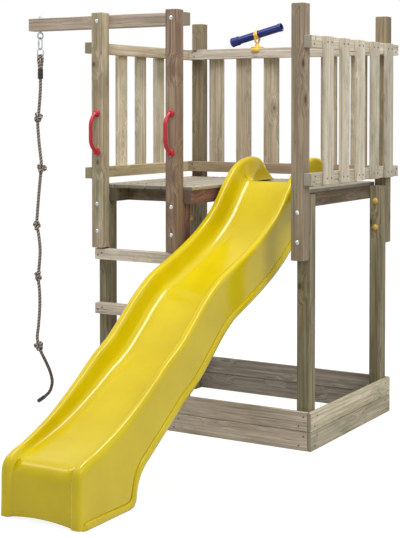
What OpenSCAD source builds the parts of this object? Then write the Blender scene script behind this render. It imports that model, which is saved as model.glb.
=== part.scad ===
// Wooden climbing frame: a play tower with a wavy slide, a ladder, slatted balustrades,
// a sandbox ring, a knotted climbing rope on a cantilever beam and a toy telescope.
// Millimetres, +Z up. X runs along the front to the right, Y runs from the front to the back.
// Lengths are laid out from the left face and the front face of the left upper post,
// and every piece is then moved so that the origin is under the middle of the whole frame.

/* [Tower] */
// Side of the square posts, legs and rope beam
post_side = 68; // [56:1:90]
// Height of the lower legs, up to the underside of the deck
leg_height = 1240; // [1000:5:1500]
// Length of the upper posts
post_length = 1233; // [1100:5:1500]
// Overlap of each upper post with its leg
post_overlap = 314; // [260:2:400]
// Clear width of the ladder bay
ladder_bay = 391; // [340:1:480]
// Clear width of the slide bay
slide_bay = 643; // [600:1:760]
// Clear depth between the front and back legs
tower_depth = 815; // [700:5:1000]

/* [Rope beam] */
// Reach of the beam beyond the left post
beam_reach = 471; // [400:1:600]
// Drop of the beam below the tops of the posts
beam_drop = 10; // [0:1:40]

/* [Deck] */
// Thickness of the deck boards
deck_thickness = 18; // [14:1:28]
// Width of a deck board
deck_board_width = 87; // [80:1:94]
// Width of the joists
joist_width = 45; // [34:1:60]
// Height of the joists
joist_height = 70; // [50:1:100]
// Gap between the legs and the ladder bay's cross joist
ladder_joist_gap = 45; // [20:1:80]
// Depth of the cut in the deck that lets the slide in
slide_entry = 437; // [380:1:500]

/* [Balustrades] */
// Height of a rail
rail_height = 58; // [44:1:80]
// Thickness of a rail
rail_thickness = 42; // [32:1:56]
// Gap between the tops of the panels and the rope beam
panel_gap = 76; // [40:1:140]
// Width of a slat
slat_width = 95; // [80:1:110]
// Thickness of a slat
slat_thickness = 18; // [12:1:26]
// Gap under the panels, above the deck
panel_lift = 31; // [15:1:60]
// Number of slats on each side
side_slats = 5; // [3:1:5]
// Spacing of the side slats
side_pitch = 190; // [170:1:200]
// Number of slats at the back
back_slats_count = 6; // [4:1:6]
// Spacing of the back slats
back_pitch = 181; // [150:1:185]

/* [Ladder] */
// Height of a rung
rung_height = 58; // [40:1:70]
// Thickness of a rung
rung_thickness = 42; // [30:1:56]
// Gap between the upper posts and the rung under them
rung_gap = 6; // [2:1:20]
// Gap between the sandbox boards and the lowest rung
rung_clearance = 96; // [60:1:140]

/* [Sandbox] */
// Height of one sandbox board
sand_board_height = 95; // [80:1:110]
// Thickness of a sandbox board
sand_board_thickness = 20; // [16:1:28]
// Number of boards on top of each other
sand_layers = 2; // [1:1:2]

/* [Slide] */
// Run of the slide, from the edge of the deck to the front of its foot
slide_run = 1972; // [1700:1:2200]
// Distance between the crests of the two rims
rim_spacing = 380; // [340:1:390]
// Width of the flat of the bed
bed_width = 200; // [160:1:240]
// Depth of the bed under the rims
bed_depth = 95; // [80:1:110]
// Depth of the outer walls under the rims
wall_depth = 213; // [180:1:225]
// Wall thickness of the moulding
slide_shell = 6; // [4:0.5:8]
// Width of the lip along the lower edge
slide_lip = 14; // [8:1:18]

/* [Handles] */
// Distance between the two fixing discs of a handle
handle_span = 200; // [160:1:260]
// Diameter of the grip
grip_diameter = 18; // [14:1:26]
// Distance of the grip's axis from the post
grip_reach = 55; // [46:1:75]
// Diameter of a fixing disc
handle_disc = 50; // [44:1:60]
// Height of the middle of the handles above the deck
handle_lift = 274; // [220:1:320]

/* [Telescope] */
// Length of the telescope's barrel
barrel_length = 292; // [240:1:300]
// Diameter of the barrel
barrel_diameter = 45; // [38:1:50]
// Diameter of the base disc
scope_base_diameter = 73; // [64:1:90]
// Height of the tilt axis above the rail
scope_axis_lift = 76; // [70:1:95]
// Tilt at rest, with the right end raised
scope_tilt = 14; // [0:1:15]
// Place of the telescope along the back rail, from the frame's left face
scope_place = 451; // [300:1:900]

/* [Rope] */
// Diameter of the climbing rope
rope_diameter = 18; // [14:1:22]
// Diameter of a knot
knot_diameter = 50; // [40:1:60]
// Distance of the rope from the end of the beam
rope_inset = 55; // [40:1:90]
// Diameter of the eye bolt's rod
eye_rod = 9; // [7:0.5:10]

/* [Hidden] */
$fn = 48;
overrun = 1;

// Places across the frame, along X
b_left = post_side + ladder_bay;
b_right = b_left + post_side;
c_left = b_right + slide_bay;
right_x = c_left + post_side;

// Places along the frame, along Y
leg_y = post_side;
front_inside = leg_y + post_side;
back_leg_y = front_inside + tower_depth;
back_post_y = back_leg_y + post_side;
back_y = back_post_y + post_side;

// Heights
deck_top = leg_height + deck_thickness;
post_bottom = leg_height - post_overlap;
post_top = post_bottom + post_length;
beam_top = post_top - beam_drop;
beam_bottom = beam_top - post_side;
joist_bottom = leg_height - joist_height;
panel_bottom = deck_top + panel_lift;
panel_top = beam_bottom - panel_gap;
sand_top = sand_layers * sand_board_height;

// Carriage bolts with domed heads, and their round caps
bolt_radius = 5;
bolt_clearance = 0.2;
bolt_bore = bolt_radius + bolt_clearance;
bolt_head_radius = 11;
bolt_head_height = 5;
cap_radius = 17;
cap_height = 13;
bolt_shares = [0.265, 0.72];

// Screws
screw_radius = 2.5;
screw_head_radius = 4.5;
screw_head_proud = 1.5;
screw_bite = 36;
screw_spread = 13;

// Deck layout: boards across the deck, and full boards left of the slide
deck_boards = 12;
left_boards = 6;
deck_gap = (c_left - deck_boards * deck_board_width) / (deck_boards - 1);
deck_pitch = deck_board_width + deck_gap;
left_deck_right = left_boards * deck_pitch - deck_gap;
entry_y = leg_y + slide_entry;
ladder_joist_y = front_inside + ladder_joist_gap;
back_joist_y = back_post_y - joist_width;
left_joist_right = post_side + joist_width;
middle_joist_right = b_right + joist_width;
right_joist_left = c_left - joist_width;
right_joist_front = leg_y + post_side / 3;
deck_screw_line = ladder_joist_y + joist_width / 4;
end_screw_line = ladder_joist_y + joist_width * 3 / 4;

// Ladder layout
rung_count = 3;
rung_top = post_bottom - rung_gap;
rung_pitch = (rung_top - rung_height - sand_top - rung_clearance) / (rung_count - 1);

// Slide layout
slide_side_gap = 5;
heel_gap = 5;
rim_round = 10;
wall_draft = 2;
flange_depth = 30;
front_recess = 13;
foot_length = 382;
rim_half = rim_spacing / 2;
bed_half = bed_width / 2;
wall_half = rim_half + rim_round + wall_draft;
lip_half = wall_half + slide_lip;
slide_x = left_deck_right + slide_side_gap + lip_half;
heel_y = entry_y - heel_gap;
foot_y = heel_y - slide_run;
foot_back_y = foot_y + foot_length;
slide_steps = 2;
ear_share = 0.02;
heel_share = 0.04;
foot_share = 0.25;
foot_drop_share = 0.87;
foot_power = 0.6;
flank_out_shares = [0.30, 0.62];
flank_rise_shares = [0.14, 0.55];
flank_sink_shares = [0.9, 0.3];
crest_rise_share = 0.93;
crest_sink_share = 0.3;
wall_top_share = 0.06;
wall_sink_share = 0.4;
wall_low_share = 0.93;
lip_top_share = 0.95;
// Crest of the rims: shares of the run in front of the deck's edge and of the deck's height
rim_shares = [
    [-0.188, 1.000], [-0.152, 1.037], [-0.112, 1.090], [-0.061, 1.107], [-0.010, 1.094],
    [0.031, 1.066], [0.076, 1.008], [0.142, 0.904], [0.213, 0.830], [0.294, 0.771],
    [0.369, 0.726], [0.441, 0.683], [0.505, 0.623], [0.558, 0.558], [0.617, 0.488],
    [0.673, 0.440], [0.745, 0.365], [0.836, 0.283], [0.925, 0.226], [0.972, 0.204],
    [0.996, 0.176], [1.000, 0.100], [1.000, 0.006]
];

// Handle layout
handle_disc_height = 8;
handle_screw_offset = 15;
grip_swell = 0.6;
handle_z = deck_top + handle_lift;
grip_bend = grip_reach - handle_disc_height;

// Telescope layout
scope_y = back_post_y - rail_thickness / 2;
scope_base_height = 10;
scope_skirt = 22;
spigot_radius = 7;
spigot_height = 16;
running_clearance = 0.05;
hub_radius = 17;
hub_gap = 0.3;
fork_thickness = 5;
fork_width = 20;
fork_gap = 0.6;
cradle_wall = 4;
cradle_length = 34;
trunnion_radius = 4;
trunnion_head_radius = 8;
trunnion_head_height = 4;
barrel_wall = 3;
hood_wall = 5.5;
hood_length = 46;
hood_overlap = 14;
eyepiece_wall = 2;
eyepiece_length = 20;
eyepiece_overlap = 14;
barrel_shift = 10;
seat_gap = 0.1;
lens_thickness = 4;
lens_inset = 6;
barrel_radius = barrel_diameter / 2;
barrel_bore = barrel_radius - barrel_wall;
barrel_seat = barrel_radius + seat_gap;
cradle_radius = barrel_seat + cradle_wall;
hood_radius = barrel_seat + hood_wall;
eyepiece_radius = barrel_seat + eyepiece_wall;
fork_inside = cradle_radius + fork_gap;
fork_outside = fork_inside + fork_thickness;
scope_axis_z = panel_top + scope_axis_lift;
hub_bottom = panel_top + scope_base_height + hub_gap;
hub_top = hub_bottom + spigot_height;

// Rope and its fittings, hanging under the beam
rope_x = -beam_reach + rope_inset;
rope_y = leg_y + post_side / 2;
rope_radius = rope_diameter / 2;
fitting_gap = 0.4;
eye_radius = eye_rod / 2;
eye_bore_radius = 13;
eye_mean = eye_bore_radius + eye_radius;
eye_drop = 26;
eye_z = beam_bottom - eye_drop;
eye_bar_z = eye_z - eye_mean;
eye_nut_radius = 8.5;
eye_nut_height = 7;
eye_washer_radius = 15;
eye_washer_height = 2.5;
eye_tip = 8;
link_radius = 3.5;
link_inside = 11;
link_mean = link_inside + link_radius;
link_length = 72;
link_top_centre = eye_bar_z + eye_radius + fitting_gap - link_inside;
link_bottom_centre = link_top_centre + 2 * link_mean + 2 * link_radius - link_length;
link_bar_z = link_bottom_centre - link_mean;
link_sleeve_radius = 5.5;
link_sleeve_length = 20;
ring_radius = 3.5;
ring_inside = 16;
ring_mean = ring_inside + ring_radius;
ring_length = 60;
ring_top_centre = link_bar_z + link_radius + fitting_gap - ring_inside;
ring_bottom_centre = ring_top_centre + 2 * ring_mean + 2 * ring_radius - ring_length;
ring_bar_z = ring_bottom_centre - ring_mean;
loop_mean = 16;
loop_close = 5;
loop_z = ring_bar_z + ring_radius + fitting_gap + rope_radius - loop_mean;
ferrule_radius = 15;
ferrule_length = 58;
ferrule_drop = 54.2;
ferrule_top = loop_z - ferrule_drop;
ferrule_bottom = ferrule_top - ferrule_length;
sleeve_radius = 11;
sleeve_length = 50;
rope_sides = 10;
rope_steps = 2;
// Route of the rope under the ferrule, from the top to the loose end: the distance to the right
// of the hanging point, and the height
rope_route = [
    [0, 1820], [0, 1775], [-5, 1710], [-16, 1610], [-20, 1570], [-11, 1470], [2, 1375],
    [6, 1330], [-2, 1290], [-15, 1180], [-26, 1070], [-29, 1015], [-18, 970], [-7, 880],
    [-15, 780], [-22, 735], [-12, 650], [-11, 560], [-20, 460], [-29, 395], [-18, 345],
    [3, 305], [35, 256], [62, 205], [73, 155], [58, 106], [22, 70], [-22, 40]
];
// Places of the knots in the route
knot_places = [3, 7, 11, 15, 20];
knot_lump_share = 0.46;

// Middle of the whole frame, which becomes the origin
outer_right = right_x + rail_thickness + slat_thickness + screw_head_proud;
middle_x = (outer_right - beam_reach) / 2;
middle_y = (back_y + bolt_head_height + foot_y) / 2;

// Directions that turn a piece which points up
to_front = [90, 0, 0];
to_back = [-90, 0, 0];
to_left = [0, -90, 0];
to_right = [0, 90, 0];
to_top = [0, 0, 0];

// Places of the bolts: left face of the post, and height of each bolt
bolt_heights = [for (s = bolt_shares) leg_height - s * post_overlap];
beam_bolt_z = beam_top - post_side / 2;

// Moves a piece from the layout to the frame with its origin in the middle
module placed() {
    translate([-middle_x, -middle_y, 0]) children();
}

module block(low, high) {
    translate(low) cube(high - low);
}

// One screw whose head lies on the face that it points away from
module screw(bite) {
    cylinder(r = screw_head_radius, h = screw_head_proud);
    translate([0, 0, -bite]) cylinder(r = screw_radius, h = bite + screw_head_proud);
}

module screw_at(place, direction, bite = screw_bite) {
    translate(place) rotate(direction) screw(bite);
}

// A pair of screws, set apart by a step
module screw_pair(place, direction, step, bite = screw_bite) {
    screw_at(place - step, direction, bite);
    screw_at(place + step, direction, bite);
}

// A round cap, flat below, with a domed top
module dome(radius, height) {
    ball = (radius * radius + height * height) / (2 * height);
    intersection() {
        translate([0, 0, height - ball]) sphere(r = ball);
        cylinder(r = radius, h = height);
    }
}

module bore_along_y(x, z, y_low, y_high) {
    translate([x, y_low - overrun, z]) rotate(to_back)
        cylinder(r = bolt_bore, h = y_high - y_low + 2 * overrun);
}

// One lower leg with the bores of its two bolts
module leg(x, y) {
    difference() {
        block([x, y, 0], [x + post_side, y + post_side, leg_height]);
        for (z = bolt_heights) bore_along_y(x + post_side / 2, z, y, y + post_side);
    }
}

// One upper post with the bores of its bolts, and of the beam's bolt where it carries the beam
module upper_post(x, y, carries_beam = false) {
    heights = carries_beam ? concat(bolt_heights, [beam_bolt_z]) : bolt_heights;
    difference() {
        block([x, y, post_bottom], [x + post_side, y + post_side, post_top]);
        for (z = heights) bore_along_y(x + post_side / 2, z, y, y + post_side);
    }
}

module front_left_leg() { color("#5f5444") placed() leg(0, leg_y); }
module ladder_leg() { color("#6b5646") placed() leg(b_left, leg_y); }
module front_right_leg() { color("#71644f") placed() leg(c_left, leg_y); }
module back_left_leg() { color("#5f5444") placed() leg(0, back_leg_y); }
module back_right_leg() { color("#5f5444") placed() leg(c_left, back_leg_y); }

module front_left_post() { color("#a09476") placed() upper_post(0, 0, true); }
module ladder_post() { color("#7d6955") placed() upper_post(b_left, 0, true); }
module front_right_post() { color("#918270") placed() upper_post(c_left, 0); }
module back_left_post() { color("#8a7d68") placed() upper_post(0, back_post_y); }
module back_right_post() { color("#998b74") placed() upper_post(c_left, back_post_y); }

module rope_beam() {
    color("#a3967d") placed() difference() {
        block([-beam_reach, leg_y, beam_bottom], [b_right, front_inside, beam_top]);
        for (x = [0, b_left]) bore_along_y(x + post_side / 2, beam_bolt_z, leg_y, front_inside);
        translate([rope_x, rope_y, beam_bottom - overrun])
            cylinder(r = eye_radius + bolt_clearance, h = post_side + 2 * overrun);
    }
}

module joist(x, front) {
    block([x, front, joist_bottom], [x + joist_width, back_post_y, leg_height]);
}

module left_joist() { color("#83705a") placed() joist(post_side, leg_y); }
module right_joist() { color("#746750") placed() joist(right_joist_left, right_joist_front); }
module middle_joist() {
    color("#966955") placed()
        block([b_right, leg_y, joist_bottom], [middle_joist_right, back_joist_y, leg_height]);
}

// The three joists across the frame: in the ladder bay, at the slide and at the back
module cross_joists() {
    color("#7f735f") placed() {
        block([left_joist_right, ladder_joist_y, joist_bottom],
              [b_right, ladder_joist_y + joist_width, leg_height]);
        block([middle_joist_right, entry_y, joist_bottom],
              [right_joist_left, entry_y + joist_width, leg_height]);
        block([left_joist_right, back_joist_y, joist_bottom],
              [right_joist_left, back_post_y, leg_height]);
    }
}

module deck_board(place, y_low) {
    x = place * deck_pitch;
    block([x, y_low, leg_height], [x + deck_board_width, back_post_y, deck_top]);
}

module left_deck() {
    color("#beb4a5") placed() for (i = [0 : left_boards - 1]) deck_board(i, leg_y);
}

module rear_deck() {
    color("#beb4a5") placed() for (i = [left_boards : deck_boards - 2]) deck_board(i, entry_y);
}

module right_deck() {
    color("#beb4a5") placed() deck_board(deck_boards - 1, ladder_joist_y);
}

module rung(place) {
    top = rung_top - place * rung_pitch;
    block([0, leg_y - rung_thickness, top - rung_height], [b_right, leg_y, top]);
}

module upper_rung() { color("#b4a89b") placed() rung(0); }
module middle_rung() { color("#b4a89b") placed() rung(1); }
module lower_rung() { color("#b4a89b") placed() rung(2); }

// Lower ends of the two rails of a panel
rail_bottoms = [panel_bottom, panel_top - rail_height];

module side_rails(x) {
    for (z = rail_bottoms) block([x, 0, z], [x + rail_thickness, back_y, z + rail_height]);
}

function slat_places(count, pitch, centre) =
    [for (i = [0 : count - 1]) centre + (i - (count - 1) / 2) * pitch - slat_width / 2];
side_slat_places = slat_places(side_slats, side_pitch, back_y / 2);
back_slat_places = slat_places(back_slats_count, back_pitch, (post_side + c_left) / 2);

module side_slat_row(x) {
    for (y = side_slat_places)
        block([x, y, panel_bottom], [x + slat_thickness, y + slat_width, panel_top]);
}

module left_rails() { color("#a58a62") placed() side_rails(-rail_thickness); }
module right_rails() { color("#d2c6b2") placed() side_rails(right_x); }
module left_slats() { color("#b9ab8e") placed() side_slat_row(-rail_thickness - slat_thickness); }
module right_slats() { color("#dcd4c3") placed() side_slat_row(right_x + rail_thickness); }

module back_rails() {
    color("#beaf9e") placed() for (z = rail_bottoms)
        block([0, back_post_y - rail_thickness, z], [right_x, back_post_y, z + rail_height]);
}

module back_slats() {
    color("#a5947a") placed() for (x = back_slat_places)
        block([x, back_post_y, panel_bottom], [x + slat_width, back_post_y + slat_thickness, panel_top]);
}

// Boards of the sandbox ring, one side at a time, on top of each other
module sand_side(low, high) {
    for (i = [0 : sand_layers - 1])
        translate([0, 0, i * sand_board_height])
            block([low[0], low[1], 0], [high[0], high[1], sand_board_height]);
}

sand_front = leg_y - sand_board_thickness;
sand_back = back_post_y + sand_board_thickness;

module front_sand_boards() {
    color("#a59480") placed() sand_side([0, sand_front], [right_x, leg_y]);
}

module back_sand_boards() {
    color("#857868") placed() sand_side([0, back_post_y], [right_x, sand_back]);
}

module left_sand_boards() {
    color("#a59480") placed() sand_side([-sand_board_thickness, sand_front], [0, sand_back]);
}

module right_sand_boards() {
    color("#b9ac91") placed() sand_side([right_x, sand_front], [right_x + sand_board_thickness, sand_back]);
}

// Smooth curve through points, with a number of steps for each stretch
function through(a, b, c, d, t) =
    b + (c - a) * t / 2
    + (2 * a - 5 * b + 4 * c - d) * t * t / 2
    + (3 * b - a - 3 * c + d) * t * t * t / 2;
function smooth(p, steps) = [
    for (i = [0 : len(p) - 2])
        for (k = [0 : steps - 1])
            through(p[max(i - 1, 0)], p[i], p[i + 1], p[min(i + 2, len(p) - 1)], k / steps),
    p[len(p) - 1]
];
function along(a, b, t) = a + (b - a) * t;

// Crest of the slide's rims, as shares, and the directions square to it
rim_line = smooth(rim_shares, slide_steps);
slide_rows = len(rim_line);
function rim_place(s) = [
    heel_y - min(s[0], 1) * slide_run,
    s[0] < ear_share ? max(s[1] * deck_top, deck_top + slide_shell) : s[1] * deck_top
];
rim_places = [for (s = rim_line) rim_place(s)];
foot_row = len([for (s = rim_line) if (s[0] <= foot_drop_share) s]);
function rim_inward(i) =
    let (a = rim_places[max(i - 1, 0)],
         b = rim_places[min(i + 1, slide_rows - 1)],
         d = (b - a) / norm(b - a))
    rim_line[i][0] < ear_share ? [0, -1] : [-d[1], d[0]];
function bed_sink(s) = front_recess
    + (bed_depth - front_recess) * pow(min(1, (1 - min(s, 1)) / foot_share), foot_power);
function bed_place(i) =
    let (s = rim_line[i][0])
    s < ear_share ? [heel_y + flange_depth * s / rim_shares[0][0], deck_top + slide_shell]
    : rim_places[i] + bed_sink(s) * rim_inward(i);
function low_place(i) =
    let (s = rim_line[i][0], p = rim_places[i] + wall_depth * rim_inward(i))
    s < heel_share ? [max(rim_places[i][0], heel_y), deck_top]
    : i >= foot_row ? [along(foot_back_y, foot_y, (i - foot_row) / (slide_rows - 1 - foot_row)), 0]
    : [min(p[0], heel_y), max(p[1], 0)];

// Half of the slide's section, from the middle of the bed to the lip. Each row has the outer X,
// whether it lies between bed and rim or between rim and lower edge, its share on the way,
// the X of the inner face and the share of the wall's thickness that the inner face is sunk by.
flank_x = [for (s = flank_out_shares) along(bed_half, rim_half, s)];
crest_x = rim_half - rim_round;
wall_x = rim_half + rim_round;
wall_inside = wall_half - slide_shell;
section = [
    [0, true, 0, 0, 1],
    [bed_half, true, 0, bed_half, 1],
    [flank_x[0], true, flank_rise_shares[0], flank_x[0] + slide_shell / 2, flank_sink_shares[0]],
    [flank_x[1], true, flank_rise_shares[1], flank_x[1] + slide_shell, flank_sink_shares[1]],
    [crest_x, true, crest_rise_share, crest_x + slide_shell, crest_sink_share],
    [rim_half, true, 1, rim_half, 1],
    [wall_x, false, wall_top_share, wall_x - slide_shell, wall_sink_share],
    [wall_half, false, wall_low_share, wall_inside, 0],
    [lip_half, false, lip_top_share, wall_inside, 0],
    [lip_half, false, 1, wall_inside, 0]
];
half_rows = len(section);

function section_place(i, row) = row[1]
    ? along(bed_place(i), rim_places[i], row[2])
    : along(rim_places[i], low_place(i), row[2]);
function outer_point(i, row, side) =
    let (p = section_place(i, row)) [slide_x + side * row[0], p[0], p[1]];
function inner_point(i, row, side) =
    let (p = section_place(i, row) + slide_shell * row[4] * rim_inward(i))
    [slide_x + side * row[3], p[0], p[1]];
function section_points(i) = concat(
    [for (k = [half_rows - 1 : -1 : 1]) outer_point(i, section[k], -1)],
    [for (k = [0 : half_rows - 1]) outer_point(i, section[k], 1)],
    [for (k = [half_rows - 1 : -1 : 0]) inner_point(i, section[k], 1)],
    [for (k = [1 : half_rows - 1]) inner_point(i, section[k], -1)]
);
ring_size = 4 * half_rows - 2;

// Two triangles for a face with four corners
function two_faces(a, b, c, d) = [[a, b, c], [a, c, d]];

module slide() {
    points = [for (i = [0 : slide_rows - 1]) each section_points(i)];
    last = (slide_rows - 1) * ring_size;
    sides = [
        for (i = [0 : slide_rows - 2])
            for (k = [0 : ring_size - 1])
                let (m = (k + 1) % ring_size, a = i * ring_size, b = a + ring_size)
                each two_faces(a + k, b + k, b + m, a + m)
    ];
    ends = [
        for (k = [0 : ring_size / 2 - 2])
            each concat(
                two_faces(k, k + 1, ring_size - 2 - k, ring_size - 1 - k),
                two_faces(last + ring_size - 1 - k, last + ring_size - 2 - k, last + k + 1, last + k)
            )
    ];
    color("#dcc328") placed() polyhedron(points = points, faces = concat(sides, ends));
}

// Screws through the slide's flange into the joist under the deck's edge
module slide_screws() {
    bite = slide_shell + deck_thickness + screw_bite;
    screw_y = entry_y + flange_depth / 3;
    color("#c8c8c6") placed() for (side = [-1, 1])
        screw_at([slide_x + side * bed_half / 2, screw_y, deck_top + slide_shell], to_top, bite);
}

// A moulded grab handle on the front of a post
module handle(x) {
    half = handle_span / 2;
    grip_half = half - grip_bend;
    grip_radius = grip_diameter / 2;
    color("#c8283c") placed() translate([x, 0, handle_z]) {
        translate([0, -grip_reach, -grip_half]) cylinder(r = grip_radius, h = 2 * grip_half);
        for (side = [-1, 1]) {
            translate([0, 0, side * half]) rotate(to_front)
                cylinder(r = handle_disc / 2, h = handle_disc_height);
            translate([0, -grip_reach, side * grip_half]) sphere(r = grip_radius + grip_swell);
            translate([0, -grip_reach, side * grip_half]) rotate([-side * 45, 0, 0])
                mirror([0, 0, side < 0 ? 1 : 0]) cylinder(r = grip_radius, h = grip_bend * sqrt(2));
        }
    }
}

module left_handle() { handle(post_side / 2); }
module right_handle() { handle(b_left + post_side / 2); }

module handle_screws() {
    screw_offset = handle_span / 2 + handle_screw_offset;
    color("#c8c8c6") placed() for (x = [post_side / 2, b_left + post_side / 2], side = [-1, 1])
        screw_at([x, -handle_disc_height, handle_z + side * screw_offset], to_front);
}

// Bolts from the outer faces of the posts, through the legs or the beam
module carriage_bolt(place, direction) {
    translate(place) rotate(direction) {
        dome(bolt_head_radius, bolt_head_height);
        translate([0, 0, -2 * post_side]) cylinder(r = bolt_radius, h = 2 * post_side + bolt_head_height / 2);
    }
}

module carriage_bolts() {
    color("#d2d2d0") placed() {
        for (x = [0, b_left, c_left], z = bolt_heights) carriage_bolt([x + post_side / 2, 0, z], to_front);
        for (x = [0, b_left]) carriage_bolt([x + post_side / 2, 0, beam_bolt_z], to_front);
        for (x = [0, c_left], z = bolt_heights) carriage_bolt([x + post_side / 2, back_y, z], to_back);
    }
}

module bolt_cap(place, direction) {
    translate(place) rotate(direction) dome(cap_radius, cap_height);
}

module bolt_caps() {
    color("#c9a63c") placed() {
        for (x = [0, b_left, c_left], z = bolt_heights)
            bolt_cap([x + post_side / 2, front_inside, z], to_back);
        for (x = [0, b_left]) bolt_cap([x + post_side / 2, front_inside, beam_bolt_z], to_back);
        for (x = [0, c_left], z = bolt_heights) bolt_cap([x + post_side / 2, back_leg_y, z], to_front);
    }
}

rail_middles = [for (z = rail_bottoms) z + rail_height / 2];
rail_screw_step = [0, screw_spread / 2, screw_spread];
panel_depth = rail_thickness + slat_thickness;

// Screws of the three panels: rails to posts, and slats to rails
module panel_screws() {
    rail_bite = rail_thickness + screw_bite;
    slat_bite = slat_thickness + screw_bite / 2;
    slat_step = slat_width / 4;
    color("#8f8b84") placed() {
        for (z = rail_middles, y = [post_side / 2, back_y - post_side / 2]) {
            screw_pair([-rail_thickness, y, z], to_left, rail_screw_step, rail_bite);
            screw_pair([right_x + rail_thickness, y, z], to_right, rail_screw_step, rail_bite);
        }
        for (z = rail_middles, end = [[post_side / 2, 1], [right_x - post_side / 2, -1]])
            screw_pair([end[0], back_post_y - rail_thickness, z], to_front,
                       [end[1] * screw_spread / 2, 0, -screw_spread], rail_bite);
        for (z = rail_middles, y = side_slat_places) {
            middle = y + slat_width / 2;
            screw_pair([-panel_depth, middle, z], to_left, [0, slat_step, 0], slat_bite);
            screw_pair([right_x + panel_depth, middle, z], to_right, [0, slat_step, 0], slat_bite);
        }
        for (z = rail_middles, x = back_slat_places)
            screw_pair([x + slat_width / 2, back_post_y + slat_thickness, z], to_back,
                       [slat_step, 0, 0], slat_bite);
    }
}

// Screws of the deck boards, two in each joist
module deck_screws() {
    bite = deck_thickness + screw_bite;
    step = [deck_board_width / 4, 0, 0];
    back_line = back_joist_y + joist_width / 2;
    front_line = entry_y + 2 * joist_width / 3 + screw_head_radius;
    color("#8f8b84") placed() {
        for (y = [deck_screw_line, back_line])
            screw_at([(post_side + deck_board_width) / 2, y, deck_top], to_top, bite);
        for (i = [1 : left_boards - 1], y = [deck_screw_line, back_line])
            screw_pair([i * deck_pitch + deck_board_width / 2, y, deck_top], to_top, step, bite);
        for (i = [left_boards : deck_boards - 2])
            screw_pair([i * deck_pitch + deck_board_width / 2, back_line, deck_top], to_top, step, bite);
        for (i = [left_boards + 1 : deck_boards - 4])
            screw_pair([i * deck_pitch + deck_board_width / 2, front_line, deck_top], to_top, step, bite);
        for (y = [deck_screw_line, back_line])
            screw_at([c_left - joist_width / 2, y, deck_top], to_top, bite);
    }
}

// Screws of the rungs, sandbox boards and joists
module frame_screws() {
    board_bite = sand_board_thickness + screw_bite;
    joist_bite = joist_width + screw_bite;
    joist_step = [0, 0, joist_height / 4];
    joist_z = joist_bottom + joist_height / 2;
    rise = sand_board_height / 4;
    side_right = right_x + sand_board_thickness;
    color("#8f8b84") placed() {
        for (i = [0 : rung_count - 1], x = [post_side / 2, b_left + post_side / 2])
            screw_pair([x, leg_y - rung_thickness, rung_top - i * rung_pitch - rung_height / 2],
                       to_front, [screw_spread, 0, screw_spread / 2], rung_thickness + screw_bite);
        for (i = [0 : sand_layers - 1]) {
            z = (i + 1 / 2) * sand_board_height;
            for (x = [0, b_left, c_left])
                screw_pair([x + post_side / 2, sand_front, z], to_front, [screw_spread, 0, rise], board_bite);
            for (x = [0, c_left])
                screw_pair([x + post_side / 2, sand_back, z], to_back, [screw_spread, 0, rise], board_bite);
            for (end = [[leg_y, 1], [back_leg_y, -1]]) {
                y = end[0] + post_side / 2;
                step = [0, end[1] * screw_spread, 0];
                screw_pair([-sand_board_thickness, y, z], to_left, step - [0, 0, rise], board_bite);
                screw_pair([side_right, y, z], to_right, step + [0, 0, rise], board_bite);
            }
        }
        for (y = [leg_y + post_side / 2, back_leg_y + post_side / 3]) {
            screw_pair([left_joist_right, y, joist_z], to_right, joist_step, joist_bite);
            screw_pair([right_joist_left, y, joist_z], to_left, joist_step, joist_bite);
        }
        screw_pair([middle_joist_right, leg_y + post_side / 2, joist_z], to_right, joist_step, joist_bite);
        screw_pair([middle_joist_right, end_screw_line, joist_z], to_right, joist_step, joist_bite);
        screw_pair([post_side, end_screw_line, joist_z], to_left, joist_step, joist_bite);
        screw_pair([b_right, entry_y + joist_width / 2, joist_z], to_left, joist_step, joist_bite);
        screw_pair([c_left, entry_y + joist_width / 2, joist_z], to_right, joist_step, joist_bite);
    }
}

// Telescope: a base with a spigot, a fork that turns on it, and a barrel that tilts in the fork
module at_scope() {
    placed() translate([scope_place, scope_y, 0]) children();
}

// A disc on the rail with a skirt down the rail's front, and the spigot
module scope_base() {
    base_radius = scope_base_diameter / 2;
    rail_half = rail_thickness / 2;
    color("#f0b428") at_scope() {
        translate([0, 0, panel_top]) {
            cylinder(r = base_radius, h = scope_base_height);
            cylinder(r = spigot_radius, h = scope_base_height + hub_gap + spigot_height);
        }
        difference() {
            translate([0, 0, panel_top - scope_skirt]) cylinder(r = base_radius, h = scope_skirt);
            block([-base_radius - overrun, -rail_half, panel_top - scope_skirt - overrun],
                  [base_radius + overrun, base_radius + overrun, panel_top + overrun]);
        }
    }
}

module scope_screws() {
    screw_offset = (hub_radius + scope_base_diameter / 2) / 2;
    color("#c8c8c6") at_scope() for (side = [-1, 1])
        screw_at([side * screw_offset, 0, panel_top + scope_base_height], to_top);
}

// The fork: a hub on the spigot, a cross piece and two arms beside the cradle
module scope_fork() {
    color("#f0b428") at_scope() difference() {
        union() {
            translate([0, 0, hub_bottom]) cylinder(r = hub_radius, h = spigot_height);
            block([-fork_width / 2, -fork_outside, hub_top - fork_thickness],
                  [fork_width / 2, fork_outside, hub_top]);
            for (side = [-1, 1]) {
                y = side < 0 ? -fork_outside : fork_inside;
                block([-fork_width / 2, y, hub_top - fork_thickness],
                      [fork_width / 2, y + fork_thickness, scope_axis_z]);
                translate([0, y, scope_axis_z]) rotate(to_back) cylinder(d = fork_width, h = fork_thickness);
            }
        }
        translate([0, 0, hub_bottom - overrun])
            cylinder(r = spigot_radius + running_clearance, h = spigot_height + 2 * overrun);
        translate([0, -fork_outside - overrun, scope_axis_z]) rotate(to_back)
            cylinder(r = trunnion_radius + running_clearance, h = 2 * (fork_outside + overrun));
    }
}

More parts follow.
